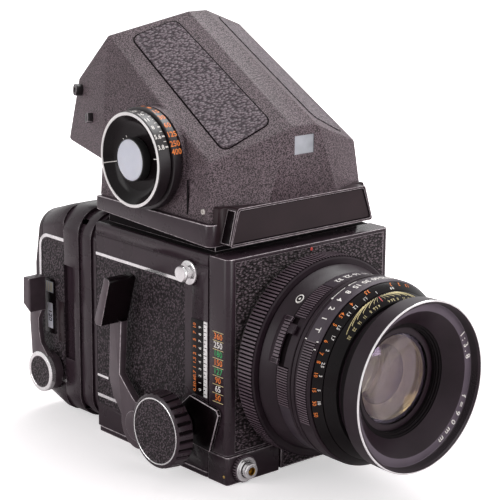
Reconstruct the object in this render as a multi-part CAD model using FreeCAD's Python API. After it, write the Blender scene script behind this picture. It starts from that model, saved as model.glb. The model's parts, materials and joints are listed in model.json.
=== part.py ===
import FreeCAD, Part
import math
import os

# Medium format film camera with a metered prism finder, a bellows front standard,
# a leaf shutter lens and a revolving roll film back in portrait position.
# Lengths are in millimetres. X runs across the camera, Y from the lens to the back, Z up.
# Y is measured from the face of the front standard. The finished pieces are then moved along Y,
# so that the origin of the assembly lies at the mouth of the tripod socket.

vec = FreeCAD.Vector

# Body
body_half_width = 52.0
body_front = 14.0
body_rear = 101.0
body_top = 109.3
base_height = 3.0
skirt_top = 14.0
cover_thickness = 2.0
leather_thickness = 0.6
groove_height = 103.0

# Light path
lens_height = 56.5
chamber_half_width = 41.0
chamber_top = 103.0
chamber_floor_front = 32.5
chamber_floor_rear = 22.5
floor_step = 45.0
rear_wall = 3.0
gate_half_width = 29.0
gate_half_height = 36.0

# Focusing screen and finder seat
screen_half = 38.0
screen_centre = 57.0
screen_thickness = 2.0
screen_ledge = 1.5
seat_half_width = 46.0
seat_front = 16.0
seat_rear = 98.0

# Front standard
standard_depth = 13.0
standard_bottom = 0.8
standard_corner = 3.0
focus_travel = 46.0
block_right_edge = -18.0
block_gap = 0.6
panel_left = -47.0
panel_right = 48.0
panel_margin = 1.9

# Bellows, closed
bellows_pleats = 5
pleat_pitch = 2.1
pleat_depth = 6.5
bellows_wall = 0.5

# Focus drive
shaft_y = 28.5
shaft_z = 24.3
shaft_radius = 4.0
gear_module = 1.0
gear_teeth = 10
gear_pressure_angle = 20.0
gear_backlash = 0.3
rack_addendum = 0.55
pinion_addendum = 0.8
gear_root_gap = 0.2
rack_centre = 29.0
rack_width = 6.0
rack_height = 5.0
rack_overrun = 4.0
knob_stand_off = 11.5
knob_inner_face = body_half_width + knob_stand_off
knob_thickness = 9.0
knob_front_radius = 17.8
knob_rear_radius = 18.8
knob_ring_radius = 16.6
knob_flutes = 24
flute_radius = 1.3
hub_radius = 7.0
lock_plate_thickness = 2.0
lock_gap = 0.6
lock_hub_radius = 10.0

# Cocking lever
lever_y = 59.7
lever_z = 15.6
lever_stand_off = 3.5
lever_inner = body_half_width + lever_stand_off
lever_thickness = 4.0
lever_hub_radius = 12.0
lever_cap_radius = 7.5
paddle_clearance = 2.0
paddle_inner = body_half_width + paddle_clearance
paddle_width = 16.0
paddle_outer = paddle_inner + paddle_width

# Shutter release
release_x = -42.0
release_z = 7.0
release_bore = 3.2
release_reach = 6.0
release_stroke = 3.5
collar_radius = 5.4
collar_length = 5.0
cable_bore = 1.2

# Mirror and light baffle
mirror_hinge_y = 93.0
mirror_hinge_z = 92.0
mirror_length = 78.0
mirror_rear_half = 35.0
mirror_front_half = 28.0
mirror_thickness = 1.5
carrier_thickness = 1.2
hinge_radius = 1.5
hinge_depth = 2.0
baffle_hinge_y = 96.0
baffle_hinge_z = 86.5
baffle_length = 62.0
baffle_half_width = 38.0
baffle_thickness = 1.0

# Lens, stations along the axis are distances in front of the standard's face
mount_radius = 46.0
mount_height = 3.0
rear_barrel_radius = 35.0
throat_clearance = 0.3
breech_radius = 49.0
breech_start = 3.3
breech_end = 13.5
breech_bore = 43.4
flare_start_radius = 45.2
flare_end_radius = 42.6
flare_end = 22.8
core_radius = 39.0
ring_fit = 0.08
ring_gap = 0.3
aperture_start = 23.4
aperture_end = 33.2
aperture_radius = 43.6
shutter_start = 34.0
shutter_end = 46.2
shutter_radius = 44.5
distance_end = 50.6
distance_rear_radius = 43.3
distance_front_radius = 40.0
distance_bore = 37.2
depth_scale_end = 55.6
depth_scale_radius = 36.2
neck_radius = 34.5
front_ring_start = 63.5
front_ring_end = 73.4
front_ring_rear_radius = 40.0
front_ring_radius = 40.5
filter_thread_radius = 38.5
filter_thread_depth = 4.0
inner_cone_end = 58.5
inner_cone_radius = 24.5
glass_radius = 21.5
front_glass_face = 57.0
front_glass_edge = 6.0
rear_glass_radius = 25.0
rear_glass_length = 8.0
blade_count = 5
iris_opening = 9.0
shutter_plane = 26.0
iris_plane = 20.0
blade_thickness = 0.25
glass_fit = 0.02

# Finder
finder_front = 10.0
finder_bottom_front = 112.3
finder_bottom_rear = 116.0
finder_seat_top = 123.0
strip_front = 13.0
strip_corner = 3.5
finder_wall = 2.4
finder_edge_radius = 2.0
opening_half = 36.0
side_foot_inset = 3.6
side_foot_half = body_half_width - side_foot_inset
side_foot_height = 129.0
side_draft = 0.083
roof_front_height = 161.5
roof_slope = 0.58
spine_half_width = 7.5
spine_slope = 0.593
rear_top_height = 174.0
rear_top_y = 145.0
rear_top_slope = 0.63
overhang_front = 102.0
overhang_bottom = 139.5
overhang_rear = 157.0
rear_half_width = 28.0
facet_y = 6.0
facet_half_bottom = 21.0
facet_half_top = 9.9
facet_corner_y = 16.4
prism_inset = 7.0
window_half = 6.2
window_bottom = 151.5
window_top = 160.4
window_depth = 1.2
plate_bottom = 113.2
plate_half_bottom = 46.0
plate_half_top = 41.0
plate_height = 17.6
plate_front = 5.4
plate_lean = 2.5
plate_corner = 1.6
plate_rim = 1.2
plate_recess = 0.6
plate_thickness = 1.4
shoulder_front = 12.9
shoulder_rear = 19.0
shoulder_half_bottom = 48.6
shoulder_half_top = 46.6

# Meter dial on the finder's side
dial_y = 60.0
dial_z = 147.8
dial_speed_radius = 24.5
dial_aperture_radius = 23.0
dial_seat_gap = 1.0
dial_rear = side_foot_half + dial_seat_gap
dial_speed_width = 5.2
dial_split = dial_rear + dial_speed_width
dial_aperture_width = 7.4
dial_front = dial_split + dial_aperture_width
dial_dish_radius = 21.2
dial_dish_depth = 5.0
dial_disc_radius = 10.2
dial_disc_height = 5.0
dial_spindle_radius = 4.0
dial_gap = 0.3

# Eyepiece and finder fittings
eyepiece_z = 157.0
eyepiece_radius = 15.0
eyepiece_bore = 10.5
eyepiece_reach = 5.0

# Revolving adapter and roll film back
hub_outer_radius = 49.6
hub_bore_radius = 46.5
hub_clearance = 0.35
hub_depth = 1.7
adapter_gap = 0.4
adapter_inset = 2.5
adapter_half_width = body_half_width - adapter_inset
adapter_half_height = 54.0
back_corner = 14.0
holder_half_height = 55.8
core_half_height = 53.5
shell_inset = 0.8
shell_half_width = body_half_width - shell_inset
holder_step = 0.3
holder_half_width = shell_half_width + holder_step
shell_half_height = 55.0
shell_rear_half_height = 47.6
shell_front = 130.3
taper_start = 134.0
taper_end = 158.0
shell_corner = 10.0
shell_depth = 18.7
shell_rear = shell_front + shell_depth
shell_wall = 3.0
door_thickness = 8.2
door_gap = 0.3
door_crown = 5.0
door_crown_start = 21.0
door_edge_radius = 2.5
door_hinge_radius = 2.0
spool_height = 33.7
spool_core_radius = 6.0
spool_flange_radius = 11.5
spool_clearance = 1.5
spool_y = shell_rear - spool_clearance - spool_flange_radius
spool_half_length = 32.5
slide_y_front = 109.6
slide_thickness = 1.0
slide_half_height = 38.5
slide_left = -33.0
slide_handle = 6.0
wind_inset = 7.6
wind_y = shell_rear - wind_inset
wind_z = 22.8
wind_face_height = 8.8
wind_face = shell_half_width + wind_face_height
wind_ring_radius = 9.9
wind_hub_gap = 1.3
wind_hub_inner = shell_half_width + wind_hub_gap
wind_arm_gap = 4.6
wind_arm_inner = shell_half_width + wind_arm_gap
wind_arm_width = 2.8
wind_arm_outer = wind_arm_inner + wind_arm_width
latch_half = 15.0

# Tripod socket, side fittings and trim
bush_radius = 9.0
bush_top = 9.0
socket_depth = 8.0
tripod_radius = 3.18
tripod_y = 57.0
leather_front = 31.0
leather_bottom = 15.0
leather_top = 93.6
line_height = 0.25
line_places = ((32.0, 93.4, 1.5), (92.0, 30.0, 1.2), (85.0, 19.5, 1.6))
scale_thickness = 0.4
scale_front = 17.0
scale_rear = 26.0
scale_bottom = 40.0
scale_top = 77.0
lug_y = 27.5
lug_z = 98.4
lug_post_radius = 3.6
lug_disc_radius = 5.8
shoe_y = 60.0
shoe_z = 62.0
shoe_half = 9.3
shoe_half_height = 10.0
shoe_base = 1.2
shoe_wall = 1.5
shoe_inner_height = 3.4
shoe_lip = 3.0
lever_axle_radius = 4.0
chamber_radius = 30.0
guard_start = 137.0
guard_end = 169.0
guard_near = 18.0
guard_far = 32.4
guard_height = 1.1
slot_start = 143.0
slot_end = 165.0
slot_near = 24.6
slot_far = 29.6
sync_lever_width = 6.0
sync_lever_height = 2.3
roof_leather_thickness = 0.4
socket_place = (-32.0, 138.8, 168.6)
switch_place = (-39.7, 119.8, 157.5)
adapter_depth = 6.6
film_plane = 113.9
band_front = 117.2
rib_depth = 8.6
rib_step = 1.0
band_rear = 129.8
waist_front = 121.5
waist_half = 25.0
waist_depth = 2.0
hinge_reach = 2.6
hinge_x = shell_half_width + hinge_reach
hinge_pin_radius = 1.1
outer_knuckles = ((28.0, 40.0), (73.0, 85.0))
spool_pin_radius = 2.2
spool_pin_depth = 1.1
wind_shaft_radius = 3.0
wind_shaft_depth = 1.1
tab_width = 7.4
tab_outer = wind_arm_outer + tab_width


def block(x0, x1, y0, y1, z0, z1):
    return Part.makeBox(x1 - x0, y1 - y0, z1 - z0, vec(x0, y0, z0))


def rod_x(x0, x1, y, z, radius):
    return Part.makeCylinder(radius, x1 - x0, vec(x0, y, z), vec(1, 0, 0))


def rod_y(y0, y1, x, z, radius):
    return Part.makeCylinder(radius, y1 - y0, vec(x, y0, z), vec(0, 1, 0))


def rod_z(z0, z1, x, y, radius):
    return Part.makeCylinder(radius, z1 - z0, vec(x, y, z0), vec(0, 0, 1))


def plate_x(points, x0, x1):
    """Plate with a (y, z) outline, from x0 to x1."""
    wire = Part.makePolygon([vec(x0, y, z) for y, z in points + points[:1]])
    return Part.Face(wire).extrude(vec(x1 - x0, 0, 0))


def plate_y(points, y0, y1):
    """Plate with an (x, z) outline, from y0 to y1."""
    wire = Part.makePolygon([vec(x, y0, z) for x, z in points + points[:1]])
    return Part.Face(wire).extrude(vec(0, y1 - y0, 0))


def turned(points):
    """Ring about the lens axis, with a (distance in front of the standard, radius) outline."""
    wire = Part.makePolygon([vec(0, -d, lens_height + r) for d, r in points + points[:1]])
    return Part.Face(wire).revolve(vec(0, 0, lens_height), vec(0, 1, 0), 360)


def turned_x(points, y, z):
    """Ring about a line along X, with an (x, radius) outline."""
    wire = Part.makePolygon([vec(x, y, z + r) for x, r in points + points[:1]])
    return Part.Face(wire).revolve(vec(0, y, z), vec(1, 0, 0), 360)


def rounded(half_width, half_height, corner, y0, y1, centre_z=lens_height):
    """Rounded rectangular plate across Y."""
    plate = block(-half_width, half_width, y0, y1, centre_z - half_height, centre_z + half_height)
    long_edges = [e for e in plate.Edges if abs(e.tangentAt(e.FirstParameter).y) > 0.99]
    return plate.makeFillet(corner, long_edges)


def mirrored(shape):
    return shape.mirror(vec(0, 0, 0), vec(1, 0, 0))


def joined(shapes):
    result = shapes[0]
    for shape in shapes[1:]:
        result = result.fuse(shape)
    return result.removeSplitter()


def cut_beyond(shape, point, normal, inset=0.0):
    """Remove all of the shape that lies beyond a plane, moved inward by the inset."""
    direction = vec(normal).normalize()
    reach = 500.0
    tool = Part.makeBox(reach, reach, reach, vec(-reach / 2, -reach / 2, 0))
    turn = FreeCAD.Rotation(vec(0, 0, 1), direction)
    tool.Placement = FreeCAD.Placement(vec(point) - direction * inset, turn)
    return shape.cut(tool)


def body_housing():
    inner = body_half_width - cover_thickness
    shape = block(-inner, inner, body_front, body_rear, base_height, body_top)
    chamber = block(-chamber_half_width, chamber_half_width, body_front - 1, body_rear - rear_wall,
                    chamber_floor_front, chamber_top)
    deep = block(-chamber_half_width, chamber_half_width, floor_step, body_rear - rear_wall,
                 chamber_floor_rear, chamber_top)
    shape = shape.cut(chamber).cut(deep)
    rear_hole = rod_y(body_rear - rear_wall - 1, body_rear + 1, 0, lens_height, hub_bore_radius)
    hub_recess = rod_y(body_rear - hub_depth - hub_clearance, body_rear + 1, 0, lens_height,
                       hub_outer_radius + hub_clearance)
    shape = shape.cut(rear_hole).cut(hub_recess)
    window = screen_half - screen_ledge
    shape = shape.cut(block(-window, window, screen_centre - window, screen_centre + window,
                            chamber_top - 1, body_top + 1))
    shape = shape.cut(block(-screen_half, screen_half, screen_centre - screen_half, screen_centre + screen_half,
                            body_top - screen_thickness, body_top + 1))
    pinion_tip = gear_module * gear_teeth / 2 + pinion_addendum
    tunnel_half = rack_centre + rack_width
    shape = shape.cut(block(-tunnel_half, tunnel_half, shaft_y - pinion_tip - 1, shaft_y + pinion_tip + 1,
                            rack_bottom() - ring_gap, shaft_z + pinion_tip + ring_gap))
    rack_end = standard_depth + rack_length()
    for side in (-1, 1):
        left = side * rack_centre - rack_width / 2 - ring_gap
        shape = shape.cut(block(left, left + rack_width + 2 * ring_gap, body_front - 1, rack_end + 2,
                                rack_bottom() - ring_gap, rack_pitch_line() + rack_addendum + ring_gap))
    shape = shape.cut(rod_x(-inner - 1, inner + 1, shaft_y, shaft_z, shaft_radius + ring_fit))
    axle_half = chamber_half_width + hinge_depth
    shape = shape.cut(rod_x(-axle_half - 0.5, axle_half + 0.5, mirror_hinge_y, mirror_hinge_z, hinge_radius + ring_fit))
    shape = shape.cut(rod_x(-axle_half - 0.5, axle_half + 0.5, baffle_hinge_y, baffle_hinge_z, hinge_radius + ring_fit))
    return shape.cut(rod_z(0, bush_top, 0, tripod_y, bush_radius))


def rack_pitch_line():
    return shaft_z - gear_module * gear_teeth / 2


def rack_bottom():
    return rack_pitch_line() - rack_height


def rack_length():
    return shaft_y - standard_depth + focus_travel + rack_overrun


def base_plate():
    plate = block(-body_half_width, body_half_width, body_front, body_rear, 0, base_height)
    plate = plate.makeFillet(2.0, [e for e in plate.Edges if abs(e.tangentAt(0).z) > 0.99])
    return plate.cut(rod_z(-1, base_height + 1, 0, tripod_y, bush_radius))


def tripod_bush():
    bush = rod_z(0, bush_top, 0, tripod_y, bush_radius - ring_fit)
    return bush.cut(rod_z(-1, socket_depth, 0, tripod_y, tripod_radius))


def side_cover(has_lever):
    """Cover of the -X side with its leather recess, with or without the cocking lever's pivot hole."""
    inner = body_half_width - cover_thickness
    cover = block(-body_half_width, -inner, body_front, body_rear, base_height, body_top)
    top_edges = [e for e in cover.Edges
                 if abs(e.tangentAt(e.FirstParameter).y) > 0.99 and e.CenterOfMass.z > body_top - 1
                 and e.CenterOfMass.x < -body_half_width + 0.5]
    cover = cover.makeFillet(cover_thickness * 0.9, top_edges)
    recess = block(-body_half_width - 1, -body_half_width + leather_thickness, leather_front, body_rear + 1,
                   leather_bottom, leather_top)
    cover = cover.cut(recess)
    cover = cover.cut(rod_x(-body_half_width - 1, -inner + 1, shaft_y, shaft_z, shaft_radius + ring_fit))
    cover = cover.cut(rod_x(-body_half_width - 1, -inner - 0.5, lug_y, lug_z, lug_post_radius))
    if has_lever:
        cover = cover.cut(rod_x(-body_half_width - 1, -inner - 0.5, lever_y, lever_z, lever_axle_radius))
    groove = block(-body_half_width - 1, -body_half_width + 0.3, body_front - 1, body_rear + 1,
                   groove_height - 0.3, groove_height + 0.3)
    return cover.cut(groove)


def leather_sheet(has_lever):
    sheet = block(-body_half_width, -body_half_width + leather_thickness, leather_front, body_rear,
                  leather_bottom, leather_top)
    if has_lever:
        sheet = sheet.cut(rod_x(-body_half_width - 1, 0, lever_y, lever_z, lever_axle_radius))
    return sheet.cut(rod_x(-body_half_width - 1, 0, shaft_y, shaft_z, hub_radius + 1))


def side_leather():
    return Part.makeCompound([leather_sheet(True), mirrored(leather_sheet(False))])


def chrome_lines():
    """Bright strips laid on the leather of each side."""
    strips = []
    for front, height, width in line_places:
        strip = block(-body_half_width - line_height, -body_half_width, front, body_rear,
                      height - width / 2, height + width / 2)
        strips += [strip, mirrored(strip)]
    return Part.makeCompound(strips)


def scale_plate():
    plate = block(-body_half_width - scale_thickness, -body_half_width, scale_front, scale_rear,
                  scale_bottom, scale_top)
    ruler = block(-body_half_width - scale_thickness, -body_half_width, body_front + 0.3, scale_front - 0.2,
                  scale_bottom, scale_top)
    return Part.makeCompound([plate, ruler])


def strap_lugs():
    outer = body_half_width
    lug = turned_x([(-outer + 1.2, 0), (-outer + 1.2, lug_post_radius), (-outer, lug_post_radius),
                    (-outer, lug_disc_radius), (-outer - 1.0, lug_disc_radius), (-outer - 1.4, lug_post_radius - 0.8),
                    (-outer - 4.0, lug_post_radius - 0.8), (-outer - 4.4, lug_post_radius + 0.6),
                    (-outer - 6.0, lug_post_radius), (-outer - 6.0, 0)], lug_y, lug_z)
    return Part.makeCompound([lug, mirrored(lug)])


def focusing_screen():
    return block(-screen_half, screen_half, screen_centre - screen_half, screen_centre + screen_half,
                 body_top - screen_thickness, body_top)


def finder_bottom(y):
    share = (y - finder_front) / (body_rear - 1 - finder_front)
    return finder_bottom_front + (finder_bottom_rear - finder_bottom_front) * share


def finder_mount():
    side = plate_x([(seat_front, body_top), (seat_rear, body_top), (seat_rear, finder_bottom(seat_rear)),
                    (seat_front, finder_bottom(seat_front))], -seat_half_width, seat_half_width)
    return side.cut(block(-opening_half, opening_half, screen_centre - opening_half, screen_centre + opening_half,
                          body_top - 1, finder_seat_top))


def release_block():
    shape = block(-body_half_width, block_right_edge - block_gap, 0, body_front, 0, skirt_top)
    shape = shape.makeFillet(1.5, [e for e in shape.Edges if abs(e.tangentAt(0).z) > 0.99
                                   and e.CenterOfMass.y < 1])
    return shape.cut(rod_y(-1, body_front - 1.5, release_x, release_z, release_bore))


def release_button():
    button = rod_y(-release_reach, body_front - 1.5 - release_stroke - 0.5, release_x, release_z,
                   release_bore - ring_fit)
    return button.cut(rod_y(-release_reach - 1, -release_reach + 4, release_x, release_z, cable_bore))


def release_collar():
    ring = rod_y(-collar_length, 0, release_x, release_z, collar_radius)
    return ring.cut(rod_y(-collar_length - 1, 1, release_x, release_z, release_bore + ring_fit))


def accessory_shoe():
    inner = body_half_width
    low = shoe_z - shoe_half_height
    high = shoe_z + shoe_half_height
    outer_half = shoe_half + shoe_wall
    base = block(inner, inner + shoe_base, shoe_y - outer_half, shoe_y + outer_half, low, high)
    walls = [block(inner + shoe_base, inner + shoe_inner_height, y, y + shoe_wall, low, high)
             for y in (shoe_y - outer_half, shoe_y + shoe_half)]
    lips = [block(inner + shoe_inner_height, inner + shoe_inner_height + shoe_base, y, y + shoe_wall + shoe_lip, low, high)
            for y in (shoe_y - outer_half, shoe_y + shoe_half - shoe_lip)]
    return joined([base] + walls + lips)


def mirror_plane(length_from, length_to, half_rear, half_front, low, high):
    """Trapezoid plate hanging from the mirror's hinge, laid level and then dropped by 45 degrees."""
    points = [(-half_rear, mirror_hinge_y - length_from), (half_rear, mirror_hinge_y - length_from),
              (half_front, mirror_hinge_y - length_to), (-half_front, mirror_hinge_y - length_to)]
    corners = [vec(x, y, mirror_hinge_z + low) for x, y in points]
    plate = Part.Face(Part.makePolygon(corners + corners[:1])).extrude(vec(0, 0, high - low))
    plate.rotate(vec(0, mirror_hinge_y, mirror_hinge_z), vec(1, 0, 0), 45)
    return plate


def mirror_carrier():
    plate = mirror_plane(0, mirror_length, mirror_rear_half, mirror_front_half, -carrier_thickness, 0)
    axle_half = chamber_half_width + hinge_depth
    axle = rod_x(-axle_half, axle_half, mirror_hinge_y, mirror_hinge_z, hinge_radius)
    return joined([plate, axle])


def mirror_glass():
    return mirror_plane(hinge_radius + 1, mirror_length - 0.5, mirror_rear_half - 0.5, mirror_front_half - 0.5,
                        0, mirror_thickness)


def light_baffle():
    half = baffle_thickness / 2
    plate = block(-baffle_half_width, baffle_half_width, baffle_hinge_y - half, baffle_hinge_y + half,
                  baffle_hinge_z - baffle_length, baffle_hinge_z)
    axle_half = chamber_half_width + hinge_depth
    axle = rod_x(-axle_half, axle_half, baffle_hinge_y, baffle_hinge_z, hinge_radius)
    return joined([plate, axle])


def pinion_outline():
    """Involute outline of the focus pinion, one tooth pointing straight down."""
    pitch_radius = gear_module * gear_teeth / 2
    pressure = math.radians(gear_pressure_angle)
    base_radius = pitch_radius * math.cos(pressure)
    tip_radius = pitch_radius + pinion_addendum
    root_radius = pitch_radius - rack_addendum - gear_root_gap
    pitch_half = (math.pi * gear_module / 2 - gear_backlash / 2) / (2 * pitch_radius)

    def involute(radius):
        angle = math.acos(min(1.0, base_radius / radius))
        return math.tan(angle) - angle

    def half_angle(radius):
        return pitch_half + involute(pitch_radius) - involute(max(radius, base_radius))

    radii = [root_radius, base_radius, pitch_radius, (pitch_radius + tip_radius) / 2, tip_radius]
    points = []
    for tooth in range(gear_teeth):
        middle = -math.pi / 2 + 2 * math.pi * tooth / gear_teeth
        flank = [(radius, middle - half_angle(radius)) for radius in radii]
        flank += [(radius, middle + half_angle(radius)) for radius in reversed(radii)]
        points += [(shaft_y + r * math.cos(a), shaft_z + r * math.sin(a)) for r, a in flank]
    return points


def focus_shaft():
    shaft = rod_x(-knob_inner_face, knob_inner_face, shaft_y, shaft_z, shaft_radius)
    half = rack_width / 2
    pinions = [plate_x(pinion_outline(), side * rack_centre - half, side * rack_centre + half) for side in (-1, 1)]
    return joined([shaft] + pinions)


def focus_knob():
    """Right hand knob (-X): fluted rim, bright ring and leather disc."""
    rear = -knob_inner_face
    front = rear - knob_thickness
    hub_end = -body_half_width - lock_gap - lock_plate_thickness - ring_gap
    knob = turned_x([(hub_end, shaft_radius), (hub_end, hub_radius), (rear, hub_radius), (rear, knob_rear_radius - 0.8),
                     (rear - 0.8, knob_rear_radius), (front + 1.2, knob_front_radius + 0.3),
                     (front, knob_ring_radius + 0.4), (front, 0), (rear, 0), (rear, shaft_radius)],
                    shaft_y, shaft_z)
    cuts = []
    for index in range(knob_flutes):
        angle = 2 * math.pi * index / knob_flutes
        reach = knob_rear_radius + flute_radius * 0.45
        y = shaft_y + reach * math.cos(angle)
        z = shaft_z + reach * math.sin(angle)
        cuts.append(rod_x(front - 1, rear - 1.6, y, z, flute_radius))
    return knob.cut(Part.makeCompound(cuts))


def focus_lock_lever():
    left = -body_half_width - lock_gap - lock_plate_thickness
    right = -body_half_width - lock_gap
    outline = plate_x([(shaft_y - 4, shaft_z + 15.2), (5.0, 37.0), (3.6, 34.5), (10.0, 15.0), (shaft_y - 6, shaft_z - 8.5),
                       (shaft_y, shaft_z - 8), (shaft_y + 4, shaft_z + 8)], left, right)
    hub = rod_x(left, right, shaft_y, shaft_z, lock_hub_radius)
    return joined([outline, hub]).cut(rod_x(left - 1, right + 1, shaft_y, shaft_z, shaft_radius + ring_fit))


def cocking_lever():
    outer = -lever_inner - lever_thickness
    arm = plate_x([(57.0, 25.0), (63.0, 29.3), (73.0, 38.5), (71.2, 66.0), (80.0, 66.0), (81.5, 36.0),
                   (78.5, 26.5), (70.7, 17.3), (60.0, 6.0)], outer, -lever_inner)
    hub = rod_x(outer, -lever_inner, lever_y, lever_z, lever_hub_radius)
    collar = rod_x(-lever_inner, -body_half_width - ring_gap, lever_y, lever_z, lever_cap_radius)
    axle = rod_x(outer, -body_half_width + cover_thickness - 0.8, lever_y, lever_z, lever_axle_radius - ring_fit)
    cap = rod_x(outer - 1.2, outer, lever_y, lever_z, lever_cap_radius)
    paddle = plate_x([(73.2, 65.0), (66.0, 88.2), (67.0, 89.6), (70.0, 90.2), (78.6, 67.0), (77.4, 65.0)],
                     -paddle_outer, -paddle_inner)
    paddle = paddle.makeFillet(1.0, [e for e in paddle.Edges if e.CenterOfMass.z > 89])
    return joined([arm, hub, collar, axle, cap, paddle])


def front_standard():
    shape = block(-body_half_width, body_half_width, 0, standard_depth, standard_bottom, body_top)
    upright = [e for e in shape.Edges if abs(e.tangentAt(e.FirstParameter).z) > 0.99 and e.CenterOfMass.y < 1]
    shape = shape.makeFillet(standard_corner, upright)
    notch = block(-body_half_width - 1, block_right_edge, -1, standard_depth + 1, standard_bottom - 1,
                  skirt_top + block_gap)
    shape = shape.cut(notch)
    recess = front_panel(-1, leather_thickness)
    throat = rod_y(-1, standard_depth + 1, 0, lens_height, rear_barrel_radius + throat_clearance)
    seat = rod_y(-1, leather_thickness, 0, lens_height, mount_radius)
    return shape.cut(recess).cut(throat).cut(seat)


def front_panel(y0, y1):
    """Outline of the leather on the front standard."""
    panel = block(panel_left, panel_right, y0, y1, standard_bottom + 0.6, body_top - panel_margin)
    return panel.cut(block(panel_left - 1, block_right_edge + 1.5, y0 - 1, y1 + 1, standard_bottom - 1,
                           skirt_top + block_gap + 1.5))


def front_leather():
    return front_panel(0, leather_thickness).cut(rod_y(-1, 2, 0, lens_height, mount_radius + ring_fit))


def lens_mount_ring():
    return turned([(-leather_thickness, rear_barrel_radius + throat_clearance), (-leather_thickness, mount_radius),
                   (mount_height, mount_radius), (mount_height, rear_barrel_radius + throat_clearance)])


def bellows():
    """Closed bellows: square pleats between an outer and an inner size, with a frame at the rear."""
    half_x = chamber_half_width - 0.6
    middle = (chamber_floor_front + chamber_top) / 2
    half_z = (chamber_top - chamber_floor_front) / 2 - 0.6

    def skin(shrink):
        wires = []
        for index in range(2 * bellows_pleats + 1):
            inset = shrink + (pleat_depth if index % 2 else 0.0)
            y = standard_depth + index * pleat_pitch / 2
            a = half_x - inset
            b = half_z - inset
            corners = [(-a, -b), (a, -b), (a, b), (-a, b), (-a, -b)]
            wires.append(Part.makePolygon([vec(x, y, middle + z) for x, z in corners]))
        return Part.makeLoft(wires, True, True)

    rear = standard_depth + bellows_pleats * pleat_pitch
    frame = rounded(chamber_half_width, half_z + 0.6, 0.5, rear, rear + 1.2, middle)
    opening = rounded(half_x - pleat_depth, half_z - pleat_depth, 0.5, rear - 1, rear + 2, middle)
    return joined([skin(0.0).cut(skin(bellows_wall)), frame.cut(opening)])


def focus_racks():
    """Two toothed bars behind the standard, in mesh with the pinions under them at rest."""
    pitch = math.pi * gear_module
    slope = math.tan(math.radians(gear_pressure_angle))
    length = rack_length()
    line = rack_pitch_line()
    tooth_half = pitch / 4 - gear_backlash / 4
    top_half = tooth_half - rack_addendum * slope
    root_depth = pinion_addendum + gear_root_gap
    root_half = tooth_half + root_depth * slope
    first = math.ceil((standard_depth + root_half - shaft_y) / pitch - 0.5)
    last = math.floor((standard_depth + length - root_half - shaft_y) / pitch - 0.5)
    outline = [(standard_depth, line - rack_height), (standard_depth, line - root_depth)]
    for index in range(first, last + 1):
        middle = shaft_y + (index + 0.5) * pitch
        outline += [(middle - root_half, line - root_depth), (middle - top_half, line + rack_addendum),
                    (middle + top_half, line + rack_addendum), (middle + root_half, line - root_depth)]
    outline += [(standard_depth + length, line - root_depth), (standard_depth + length, line - rack_height)]
    half = rack_width / 2
    bars = [plate_x(outline, side * rack_centre - half, side * rack_centre + half) for side in (-1, 1)]
    return Part.makeCompound(bars)


def lens_barrel():
    shape = turned([(-standard_depth + 0.5, rear_glass_radius), (-standard_depth + 0.5, rear_barrel_radius),
                    (mount_height, rear_barrel_radius), (mount_height, breech_bore - ring_fit),
                    (breech_end + 0.1, breech_bore - ring_fit), (breech_end + ring_gap, flare_start_radius),
                    (flare_end, flare_end_radius), (flare_end, core_radius), (shutter_end + ring_gap, core_radius),
                    (shutter_end + ring_gap, distance_bore - ring_fit), (distance_end + ring_gap, distance_bore - ring_fit),
                    (distance_end + ring_gap, distance_front_radius - 0.2), (depth_scale_end, depth_scale_radius),
                    (depth_scale_end, neck_radius), (front_glass_face - 0.5, neck_radius),
                    (front_glass_face - 0.5, glass_radius), (shutter_plane + 2, glass_radius),
                    (shutter_plane + 2, chamber_radius), (iris_plane - 2, chamber_radius),
                    (iris_plane - 2, rear_glass_radius)])
    low = aperture_radius + ring_gap
    root = flare_end_radius - 1
    guard = turned([(guard_near, root), (guard_near, low + guard_height), (guard_far, low + guard_height),
                    (guard_far, low), (flare_end, low), (flare_end, root)])
    guard = guard.common(sector(breech_radius, guard_near - 1, guard_far + 1, guard_start, guard_end))
    slot = turned([(slot_near, low - 0.1), (slot_near, breech_radius), (slot_far, breech_radius), (slot_far, low - 0.1)])
    slot = slot.common(sector(breech_radius + 2, slot_near - 1, slot_far + 1, slot_start, slot_end))
    return joined([shape, guard]).cut(slot)


def sector(radius, near, far, start, end):
    """Pie slice about the lens axis between two angles, seen from the front, 0 at +X."""
    points = [(0, lens_height)]
    steps = 6
    for index in range(steps + 1):
        angle = math.radians(start + (end - start) * index / steps)
        points.append((radius * math.cos(angle), lens_height + radius * math.sin(angle)))
    return plate_y(points, -far, -near)


def sync_lever():
    """Small slider in the slot of the guard that stands over the aperture ring."""
    near = slot_near + ring_fit
    far = slot_far - ring_fit
    low = aperture_radius + ring_gap
    high = low + sync_lever_height
    ring = turned([(near, low), (near, high), (far, high), (far, low)])
    start = slot_start + 1
    return ring.common(sector(breech_radius + 2, near - 1, far + 1, start, start + sync_lever_width))


def breech_ring():
    return turned([(breech_start, breech_bore), (breech_start, breech_radius), (breech_end - 0.6, breech_radius),
                   (breech_end, breech_radius - 0.6), (breech_end, breech_bore)])


def aperture_ring():
    bore = core_radius + ring_fit
    return turned([(aperture_start, bore), (aperture_start, aperture_radius - 0.4),
                   (aperture_start + 0.4, aperture_radius), (aperture_end - 0.4, aperture_radius),
                   (aperture_end, aperture_radius - 0.4), (aperture_end, bore)])


def shutter_ring():
    bore = core_radius + ring_fit
    return turned([(shutter_start, bore), (shutter_start, shutter_radius - 0.5), (shutter_start + 0.5, shutter_radius),
                   (shutter_end - 1.2, shutter_radius), (shutter_end, distance_rear_radius), (shutter_end, bore)])


def distance_ring():
    start = shutter_end + 2 * ring_gap
    return turned([(start, distance_bore), (start, distance_rear_radius), (distance_end, distance_front_radius),
                   (distance_end, distance_bore)])


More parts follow.
